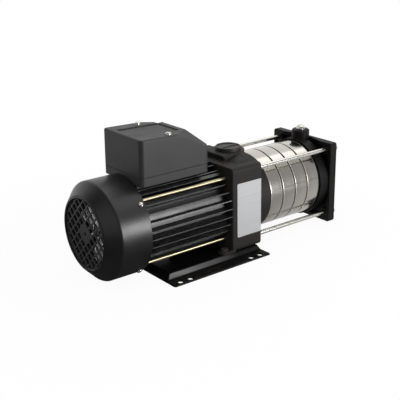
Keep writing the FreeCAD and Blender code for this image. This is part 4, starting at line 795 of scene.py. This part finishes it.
def radial_pattern_tree():
    """Copies of a piece round the shaft, each turned to point outwards from it."""
    tree, given, out = pattern_tree("Radial Pattern", {
        "Count": 4, "First Angle": 0.0, "Radius": 0.05, "Station": 0.0, "Shaft Height": SHAFT_HEIGHT})
    points = tree.nodes.new("GeometryNodePoints")
    index = tree.nodes.new("GeometryNodeInputIndex")
    step = math_node(tree, "DIVIDE", FULL_TURN, given["Count"])
    angle = math_node(tree, "ADD", product(tree, index.outputs[0], step), given["First Angle"])
    across = product(tree, math_node(tree, "COSINE", angle), given["Radius"])
    rise = product(tree, math_node(tree, "SINE", angle), given["Radius"])
    height = math_node(tree, "ADD", rise, given["Shaft Height"])
    feed_all(tree, points, {
        "Count": given["Count"], "Position": combine(tree, given["Station"], across, height)})
    copies = tree.nodes.new("GeometryNodeInstanceOnPoints")
    feed_all(tree, copies, {
        "Points": points.outputs[0], "Instance": given["Piece"], "Rotation": combine(tree, angle, 0.0, 0.0)})
    return finish_tree(tree, given, out, copies.outputs[0])


def helical_thread_tree():
    """A thread: a ridge that winds round an axis, at each point of the piece."""
    tree, given, out = pattern_tree("Helical Thread", {
        "Radius": 0.01, "Pitch": 0.001, "Length": 0.01, "Ridge": 0.0005, "Tilt": (0.0, 0.0, 0.0)})
    spiral = tree.nodes.new("GeometryNodeCurveSpiral")
    feed_all(tree, spiral, {
        "Resolution": THREAD_STEPS, "Rotations": math_node(tree, "DIVIDE", given["Length"], given["Pitch"]),
        "Start Radius": given["Radius"], "End Radius": given["Radius"], "Height": given["Length"],
    })
    profile = tree.nodes.new("GeometryNodeCurvePrimitiveCircle")
    feed_all(tree, profile, {"Resolution": RIDGE_SIDES, "Radius": given["Ridge"]})
    ridge = tree.nodes.new("GeometryNodeCurveToMesh")
    feed_all(tree, ridge, {
        "Fill Caps": True, "Curve": spiral.outputs[0], "Profile Curve": profile.outputs[0]})
    lean = tree.nodes.new("GeometryNodeTransform")
    feed_all(tree, lean, {"Geometry": ridge.outputs[0], "Rotation": given["Tilt"]})
    copies = tree.nodes.new("GeometryNodeInstanceOnPoints")
    feed_all(tree, copies, {"Points": given["Piece"], "Instance": lean.outputs[0]})
    return finish_tree(tree, given, out, copies.outputs[0])


trees = {"square": square_pattern_tree(), "radial": radial_pattern_tree(), "thread": helical_thread_tree()}


def new_piece(name, mesh):
    """An object for a mesh, linked to the scene."""
    piece = bpy.data.objects.new(name, mesh)
    bpy.context.scene.collection.objects.link(piece)
    return piece


def mesh_of(build, name):
    """A mesh filled by a function that is given a bmesh."""
    work = bmesh.new()
    build(work)
    bmesh.ops.remove_doubles(work, verts=work.verts, dist=SAME_PLACE)
    bmesh.ops.recalc_face_normals(work, faces=work.faces)
    mesh = bpy.data.meshes.new(name)
    work.to_mesh(mesh)
    work.free()
    return mesh


def grown(name, mesh, key, **values):
    """Run a pattern tree over a mesh and keep its result as a plain mesh object."""
    source = new_piece(name + "_source", mesh)
    modifier = source.modifiers.new("Pattern", "NODES")
    modifier.node_group = trees[key]
    identifiers = {
        item.name: item.identifier for item in trees[key].interface.items_tree
        if item.item_type == "SOCKET" and item.in_out == "INPUT"
    }
    for label, value in values.items():
        modifier[identifiers[label.replace("_", " ").title()]] = value
    depsgraph = bpy.context.evaluated_depsgraph_get()
    result = bpy.data.meshes.new_from_object(source.evaluated_get(depsgraph))
    result.name = name
    source.modifiers.remove(modifier)
    bpy.data.objects.remove(source)
    return new_piece(name, result)


def smooth(piece, degrees=35.0):
    """Smooth shading, with edges sharper than an angle left crisp."""
    piece.data.shade_smooth()
    piece.data.set_sharp_from_angle(angle=math.radians(degrees))
    return piece


def ring_of(work, points):
    """Vertices at a list of places."""
    return [work.verts.new(point) for point in points]


def skin(work, rings, closed=False):
    """Faces between successive rings of equal length."""
    pairs = list(zip(rings, rings[1:]))
    if closed:
        pairs.append((rings[-1], rings[0]))
    for low, high in pairs:
        count = len(low)
        for place in range(count):
            after = (place + 1) % count
            work.faces.new((low[place], low[after], high[after], high[place]))


def nut_profile(across, height, hole):
    """Rings of a hexagon nut along +X with turned chamfers on both faces."""
    count = 6 * STEPS_PER_SIDE
    face = across * NUT_FACE
    mouth = hole * COUNTERSINK_MOUTH
    sink = hole * COUNTERSINK_DEPTH
    lean = math.tan(NUT_CHAMFER)

    def hex_radius(angle):
        """Distance to the hexagon's side in a direction."""
        folded = (angle % (FULL_TURN / 6)) - FULL_TURN / 12
        return across / 2 / math.cos(folded)

    def ring(station, radius_at):
        """Places round the axis, with a station that can depend on the radius."""
        places = []
        for step in range(count):
            angle = FULL_TURN * step / count
            radius = radius_at(angle)
            places.append((station(radius), radius * math.cos(angle), radius * math.sin(angle)))
        return places

    def level(station, radius):
        """A round ring at one station."""
        return ring(lambda _: station, lambda _: radius)

    return [
        level(sink, hole), level(0.0, mouth), level(0.0, face),
        ring(lambda radius: (radius - face) * lean, hex_radius),
        ring(lambda radius: height - (radius - face) * lean, hex_radius),
        level(height, face), level(height, mouth), level(height - sink, hole),
    ]


def build_nut(work, across, height, hole):
    """A chamfered hexagon nut from x = 0 along +X."""
    rings = [ring_of(work, places) for places in nut_profile(across, height, hole)]
    skin(work, rings, closed=True)


def turned_rings(work, profile, axis_turn, count):
    """Rings of a turned body: profile is (distance along the axis, radius), axis_turn maps +X elsewhere."""
    rings = []
    for along, radius in profile:
        places = []
        for step in range(count):
            angle = FULL_TURN * step / count
            places.append(axis_turn @ Vector((along, radius * math.cos(angle), radius * math.sin(angle))))
        rings.append(ring_of(work, places))
    return rings


def edges_round(work, ring):
    """The edges between a closed ring's vertices."""
    return [work.edges.get(pair) for pair in zip(ring, ring[1:] + ring[:1])]


def build_pan_screw(work, head, rise, shank, length):
    """A pan-head screw along +Y, its seat at the origin, with a cross recess in its crown."""
    tip = (-length, shank * TIP_RADIUS)
    profile = [tip, (-length + shank * TIP_LENGTH, shank), (0.0, shank), (0.0, head)]
    for step in range(1, DOME_STEPS + 1):
        angle = step / DOME_STEPS * DOME_ANGLE
        share = CROWN_SHARE + (1.0 - CROWN_SHARE) * math.cos(angle)
        profile.append((rise * math.sin(angle) / math.sin(DOME_ANGLE), head * share))
    rings = turned_rings(work, profile, Matrix.Rotation(QUARTER_TURN, 3, "Z"), SCREW_STEPS)
    skin(work, rings)
    work.faces.new(rings[0][::-1])
    arm = head * RECESS_ARM
    half = head * RECESS_HALF_WIDTH
    corners = [(half, arm), (half, half), (arm, half), (arm, -half), (half, -half), (half, -arm),
               (-half, -arm), (-half, -half), (-arm, -half), (-arm, half), (-half, half), (-half, arm)]
    top = ring_of(work, [(x, rise, z) for x, z in corners])
    floor = rise - rise * RECESS_DEPTH
    deep = ring_of(work, [(x * RECESS_TAPER, floor, z * RECESS_TAPER) for x, z in corners])
    skin(work, [top, deep])
    work.faces.new(deep)
    rims = edges_round(work, rings[-1]) + edges_round(work, top)
    bmesh.ops.triangle_fill(work, edges=rims, use_beauty=True)


def points_mesh(name, places):
    """A mesh of loose points."""
    mesh = bpy.data.meshes.new(name)
    mesh.from_pydata([tuple(place) for place in places], [], [])
    return mesh


class PUMP_OT_paint_castings(bpy.types.Operator):
    """Paint the head, the suction casing, the motor housing, the fan cover and the base plate"""

    bl_idname = "pump.paint_castings"
    bl_label = "Paint Castings"

    def execute(self, context):
        """Give every painted sub-part its coat."""
        dress_nodes(make_paints(context.scene.pump_colours))
        return {"FINISHED"}


class PUMP_OT_finish_metals(bpy.types.Operator):
    """Finish the stages, rods, shaft, bearings, seal and other bare metal"""

    bl_idname = "pump.finish_metals"
    bl_label = "Finish Metals"

    def execute(self, context):
        """Give every bare metal sub-part its finish."""
        dress_nodes(make_metals(context.scene.pump_colours))
        return {"FINISHED"}


class PUMP_OT_finish_mouldings(bpy.types.Operator):
    """Finish the terminal box, cap, gland, fan, impellers and rubber rings"""

    bl_idname = "pump.finish_mouldings"
    bl_label = "Finish Mouldings"

    def execute(self, context):
        """Give every moulded sub-part its finish."""
        dress_nodes(make_mouldings(context.scene.pump_colours))
        return {"FINISHED"}


class PUMP_OT_fit_rod_nuts(bpy.types.Operator):
    """Fit chamfered nuts and threaded ends on the pump's four tie rods"""

    bl_idname = "pump.fit_rod_nuts"
    bl_label = "Fit Rod Nuts"

    def execute(self, context):
        """Make the nuts in place of the plain ones, and wind a thread round each rod's end."""
        sizes = context.scene.pump_sizes
        low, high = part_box("pump_rod_nuts")
        offset = (high.z - low.z - sizes.rod_nut_across) / 2
        hole = sizes.rod_radius * NUT_CLEARANCE
        nut = mesh_of(lambda work: build_nut(work, sizes.rod_nut_across, sizes.rod_nut_height, hole),
                      "rod_nut")
        nuts = grown("rod_nuts", nut, "square", offset=offset, station=low.x, finish=finishes["zinc_steel"])
        smooth(nuts, degrees=25.0)
        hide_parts("pump_rod_nuts")
        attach(nuts, CASING)
        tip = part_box("pump_tie_rods")[1].x
        tail = tip - high.x
        corners = [(high.x, side * offset, SHAFT_HEIGHT + rise * offset)
                   for side in (-1, 1) for rise in (-1, 1)]
        threads = grown("rod_threads", points_mesh("rod_thread_points", corners), "thread",
                        radius=sizes.rod_radius, pitch=sizes.rod_thread_pitch,
                        length=tail * sizes.rod_thread_share, ridge=sizes.rod_thread_pitch * ROD_RIDGE,
                        tilt=Z_ONTO_X, finish=finishes["bright_rod"])
        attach(smooth(threads), CASING)
        return {"FINISHED"}


class PUMP_OT_fit_cover_screws(bpy.types.Operator):
    """Fit cross-recessed screws round the fan cover"""

    bl_idname = "pump.fit_cover_screws"
    bl_label = "Fit Cover Screws"

    def execute(self, context):
        """Make the screws in place of the plain ones."""
        sizes = context.scene.pump_sizes
        low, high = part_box("fan_cover_screws")
        cover_low, cover_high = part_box("fan_cover")
        radius = (cover_high.z - cover_low.z) / 2
        screw = mesh_of(lambda work: build_pan_screw(
            work, sizes.cover_screw_head, sizes.cover_screw_rise, sizes.cover_screw_shank,
            sizes.cover_screw_length), "cover_screw")
        screws = grown("cover_screws", screw, "radial", count=sizes.cover_screw_count,
                       first_angle=sizes.cover_screw_angle, radius=radius, station=(low.x + high.x) / 2,
                       finish=finishes["bright_screw"])
        smooth(screws)
        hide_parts("fan_cover_screws")
        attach(screws, CASING)
        return {"FINISHED"}


class PUMP_OT_fit_box_screws(bpy.types.Operator):
    """Fit cross-recessed screws in the terminal box's cover"""

    bl_idname = "pump.fit_box_screws"
    bl_label = "Fit Box Screws"

    def execute(self, context):
        """Make the two screws in place of the plain ones."""
        sizes = context.scene.pump_sizes
        low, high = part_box("terminal_box_screws")
        seat = high.z - sizes.box_screw_rise
        reach = (high.y - low.y) / 2 - sizes.box_screw_head
        screw = mesh_of(lambda work: build_pan_screw(
            work, sizes.box_screw_head, sizes.box_screw_rise, sizes.box_screw_shank,
            seat - low.z), "box_screw")
        screw.transform(Matrix.Rotation(QUARTER_TURN, 4, "X"))
        work = bmesh.new()
        for side in (-1, 1):
            copy = screw.copy()
            copy.transform(Matrix.Translation(((low.x + high.x) / 2, side * reach, seat)))
            work.from_mesh(copy)
            bpy.data.meshes.remove(copy)
        joined = bpy.data.meshes.new("box_screws")
        work.to_mesh(joined)
        work.free()
        screws = new_piece("box_screws", joined)
        joined.materials.append(finishes["bright_screw"])
        smooth(screws)
        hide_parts("terminal_box_screws")
        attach(screws, CASING)
        return {"FINISHED"}


class PUMP_OT_cut_port_threads(bpy.types.Operator):
    """Wind pipe threads inside the suction and discharge ports"""

    bl_idname = "pump.cut_port_threads"
    bl_label = "Cut Port Threads"

    def execute(self, context):
        """Wind one thread in each port, a little inside its mouth."""
        sizes = context.scene.pump_sizes
        back = sizes.port_thread_length / 2 + sizes.port_thread_inset
        mounts = {mount["name"]: mount for mount in frame["record"]["mounts"]}
        for name, tilt in (("suction_port", Z_ONTO_X), ("discharge_port", (0.0, 0.0, 0.0))):
            start = Vector(mounts[name]["pos_m"]) - Vector(mounts[name]["axis"]) * back
            thread = grown(name + "_thread", points_mesh(name + "_point", [start]), "thread",
                           radius=sizes.port_radius, pitch=sizes.port_thread_pitch,
                           length=sizes.port_thread_length, ridge=sizes.port_thread_pitch * PORT_RIDGE,
                           tilt=tilt, finish=finishes["cast_aluminium"])
            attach(smooth(thread), CASING)
        return {"FINISHED"}


def build_shoulder(work, foot, crest, halves, bottom, top, edge):
    """A hipped slope from a foot line up to a crest line; halves are its half widths, foot to crest."""
    foot_half, low_half, crest_half = halves
    sunk = bottom - SHOULDER_SUNK
    corners = ring_of(work, [
        (foot, -foot_half, sunk), (foot, foot_half, sunk), (crest, low_half, sunk), (crest, -low_half, sunk),
        (foot, -foot_half, bottom), (foot, foot_half, bottom), (crest, low_half, bottom),
        (crest, -low_half, bottom), (crest, -crest_half, top), (crest, crest_half, top),
    ])
    for face in ((3, 2, 1, 0), (0, 1, 5, 4), (1, 2, 6, 5), (3, 0, 4, 7), (2, 3, 7, 8, 9, 6), (4, 5, 9, 8),
                 (5, 6, 9), (7, 4, 8)):
        work.faces.new([corners[place] for place in face])
    slopes = [side for side in work.edges
              if min(vertex.co.z for vertex in side.verts) >= bottom - SAME_HEIGHT]
    bmesh.ops.bevel(work, geom=slopes, offset=edge, segments=SHOULDER_STEPS, profile=0.5, affect="EDGES")


class PUMP_OT_blend_shoulder(bpy.types.Operator):
    """Blend the discharge boss into the back of the head with a cast slope"""

    bl_idname = "pump.blend_shoulder"
    bl_label = "Blend Shoulder"

    def execute(self, context):
        """Lay the slope on top of the head, from its middle up to the rib behind the boss."""
        sizes = context.scene.pump_sizes
        low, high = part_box("discharge_head")
        head_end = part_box("chamber_gaskets")[0].x - sizes.head_spigot
        head_top = SHAFT_HEIGHT + (high.y - low.y) / 2
        crest = head_end - sizes.shoulder_depth + sizes.shoulder_lap
        halves = (sizes.shoulder_foot, sizes.shoulder_foot + sizes.shoulder_splay, sizes.shoulder_crest)
        slope = mesh_of(lambda work: build_shoulder(
            work, crest - sizes.shoulder_run, crest, halves, head_top, high.z - sizes.shoulder_drop,
            sizes.shoulder_edge), "head_shoulder")
        shoulder = smooth(new_piece("head_shoulder", slope))
        slope.materials.append(finishes["black_cast"])
        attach(shoulder, CASING)
        return {"FINISHED"}


class PUMP_OT_build_studio(bpy.types.Operator):
    """Build the floor, the lamps, the room light and the camera"""

    bl_idname = "pump.build_studio"
    bl_label = "Build Studio"

    def execute(self, context):
        """Set the pump in a plain white studio, seen as in the photograph."""
        settings = context.scene.pump_studio
        build_floor(settings.left_level, settings.right_level)
        centre = (CAD_LOW + CAD_HIGH) / 2
        for name, place, size, power in LAMPS:
            build_lamp(name, place, centre, size, getattr(settings, power))
        build_room(settings)
        build_camera()
        context.scene.view_settings.view_transform = "Standard"
        return {"FINISHED"}


def behind_pump(tree, place, reach):
    """1 where a place or direction lies on the background's side of the pump, 0 on the camera's side."""
    away = Vector((-CAMERA_PLACE[0], -CAMERA_PLACE[1], 0.0)).normalized()
    return ramp(tree, vector_math(tree, "DOT_PRODUCT", place, away), *reach)


def shows_background(tree, light_path, behind):
    """1 for rays that should find the white background: from the camera, and reflected or refracted to it."""
    bounced = math_node(tree, "MAXIMUM", light_path["Is Glossy Ray"], light_path["Is Transmission Ray"])
    return math_node(tree, "MAXIMUM", light_path["Is Camera Ray"], product(tree, bounced, behind))


def across_pump(tree, place, reach, left_level, right_level):
    """A light level that changes along X, from the fan's side to the pump's side."""
    return between(tree, ramp(tree, parts_of(tree, place)["X"], *reach), left_level, right_level)


def build_floor(left_level, right_level):
    """A floor that is pure white as background and keeps a faint shadow of the pump."""
    mesh = bpy.data.meshes.new("floor")
    mesh.from_pydata([(x * FLOOR_HALF, y * FLOOR_HALF, 0) for x, y in ((-1, -1), (1, -1), (1, 1), (-1, 1))],
                     [], [(0, 1, 2, 3)])
    floor = new_piece("floor", mesh)
    material, tree, shader = blank_material("Studio Floor")
    light_path = tree.nodes.new("ShaderNodeLightPath").outputs
    place = object_place(tree)
    mirrored = across_pump(tree, place, FLOOR_ACROSS, left_level, right_level)
    unseen = between(tree, light_path["Is Glossy Ray"], FLOOR_BOUNCE, mirrored)
    level = between(tree, light_path["Is Camera Ray"], unseen, FLOOR_SEEN)
    feed_all(tree, shader, {
        "Base Color": combine(tree, level, level, level),
        "Roughness": FLOOR_ROUGHNESS,
        "Specular IOR Level": 0.0,
    })
    white = tree.nodes.new("ShaderNodeEmission")
    seen = shows_background(tree, light_path, behind_pump(tree, place, FLOOR_BEHIND))
    away = vector_math(tree, "LENGTH", place)
    whiteness = between(tree, ramp(tree, away, *SHADOW_REACH), SHADOW_WHITE, 1.0)
    mix = tree.nodes.new("ShaderNodeMixShader")
    for slot, value in enumerate((product(tree, seen, whiteness), shader.outputs[0], white.outputs[0])):
        tree.links.new(value, mix.inputs[slot])
    tree.links.new(mix.outputs[0], tree.nodes["Material Output"].inputs["Surface"])
    mesh.materials.append(material)


def build_lamp(name, place, target, size, power):
    """A rectangular lamp that faces a target."""
    data = bpy.data.lights.new(name, "AREA")
    data.shape = "RECTANGLE"
    data.size, data.size_y = size
    data.energy = power
    lamp = bpy.data.objects.new(name, data)
    bpy.context.scene.collection.objects.link(lamp)
    towards = Vector(target) - Vector(place)
    lamp.matrix_world = Matrix.Translation(place) @ towards.to_track_quat("-Z", "Y").to_matrix().to_4x4()


def build_room(settings):
    """Even light from all round; the camera and reflections of the background find it white."""
    world = bpy.data.worlds.new("Studio Room")
    world.use_nodes = True
    tree = world.node_tree
    background = tree.nodes["Background"]
    light_path = tree.nodes.new("ShaderNodeLightPath").outputs
    way = tree.nodes.new("ShaderNodeTexCoord").outputs["Object"]
    seen = shows_background(tree, light_path, behind_pump(tree, way, ROOM_BEHIND))
    soft = across_pump(tree, way, ROOM_SIDE, settings.side_level, settings.room_level)
    mirrored = across_pump(tree, way, ROOM_ACROSS, settings.left_level, settings.right_level)
    unlit = between(tree, light_path["Is Glossy Ray"], soft, mirrored)
    rest = product(tree, unlit, inverse(tree, seen))
    feed_all(tree, background, {
        "Color": (1.0, 1.0, 1.0, 1.0),
        "Strength": math_node(tree, "ADD", rest, seen),
    })
    bpy.context.scene.world = world


def build_camera():
    """The photograph's camera."""
    data = bpy.data.cameras.new("photograph_camera")
    data.sensor_fit = "HORIZONTAL"
    data.sensor_width = SENSOR_WIDTH_MM
    data.lens = CAMERA_FOCAL_PIXELS * SENSOR_WIDTH_MM / PICTURE_PIXELS
    data.clip_start = NEAREST_SEEN
    camera = bpy.data.objects.new("photograph_camera", data)
    bpy.context.scene.collection.objects.link(camera)
    right = Vector(CAMERA_RIGHT).normalized()
    up = Vector(CAMERA_UP)
    up = (up - right * up.dot(right)).normalized()
    back = right.cross(up)
    camera.matrix_world = Matrix.Translation(CAMERA_PLACE) @ Matrix((right, up, back)).transposed().to_4x4()
    bpy.context.scene.camera = camera


class PUMP_PT_sidebar(bpy.types.Panel):
    """Lists the pump's steps, sizes and colours"""

    bl_idname = "PUMP_PT_sidebar"
    bl_label = "Multistage Booster Pump"
    bl_space_type = "VIEW_3D"
    bl_region_type = "UI"
    bl_category = "Pump"

    def draw(self, context):
        """Show one button for each step, then the settings."""
        layout = self.layout
        for step in STEPS:
            layout.operator(step.bl_idname)
        for settings in (context.scene.pump_colours, context.scene.pump_sizes, context.scene.pump_studio):
            box = layout.box()
            for name in settings.__annotations__:
                box.prop(settings, name)


STEPS = (
    PUMP_OT_paint_castings,
    PUMP_OT_finish_metals,
    PUMP_OT_finish_mouldings,
    PUMP_OT_fit_rod_nuts,
    PUMP_OT_fit_cover_screws,
    PUMP_OT_fit_box_screws,
    PUMP_OT_cut_port_threads,
    PUMP_OT_blend_shoulder,
    PUMP_OT_build_studio,
)
CLASSES = (PumpColours, PumpSizes, StudioSettings, *STEPS, PUMP_PT_sidebar)


def register():
    """Register the classes and hang their settings on the scene."""
    for member in CLASSES:
        bpy.utils.register_class(member)
    bpy.types.Scene.pump_colours = PointerProperty(type=PumpColours)
    bpy.types.Scene.pump_sizes = PointerProperty(type=PumpSizes)
    bpy.types.Scene.pump_studio = PointerProperty(type=StudioSettings)


def unregister():
    """Undo what register did."""
    del bpy.types.Scene.pump_studio
    del bpy.types.Scene.pump_sizes
    del bpy.types.Scene.pump_colours
    for member in reversed(CLASSES):
        bpy.utils.unregister_class(member)


def main():
    """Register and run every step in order."""
    register()
    bpy.ops.pump.paint_castings()
    bpy.ops.pump.finish_metals()
    bpy.ops.pump.finish_mouldings()
    bpy.ops.pump.fit_rod_nuts()
    bpy.ops.pump.fit_cover_screws()
    bpy.ops.pump.fit_box_screws()
    bpy.ops.pump.cut_port_threads()
    bpy.ops.pump.blend_shoulder()
    bpy.ops.pump.build_studio()


if __name__ == "__main__":
    main()
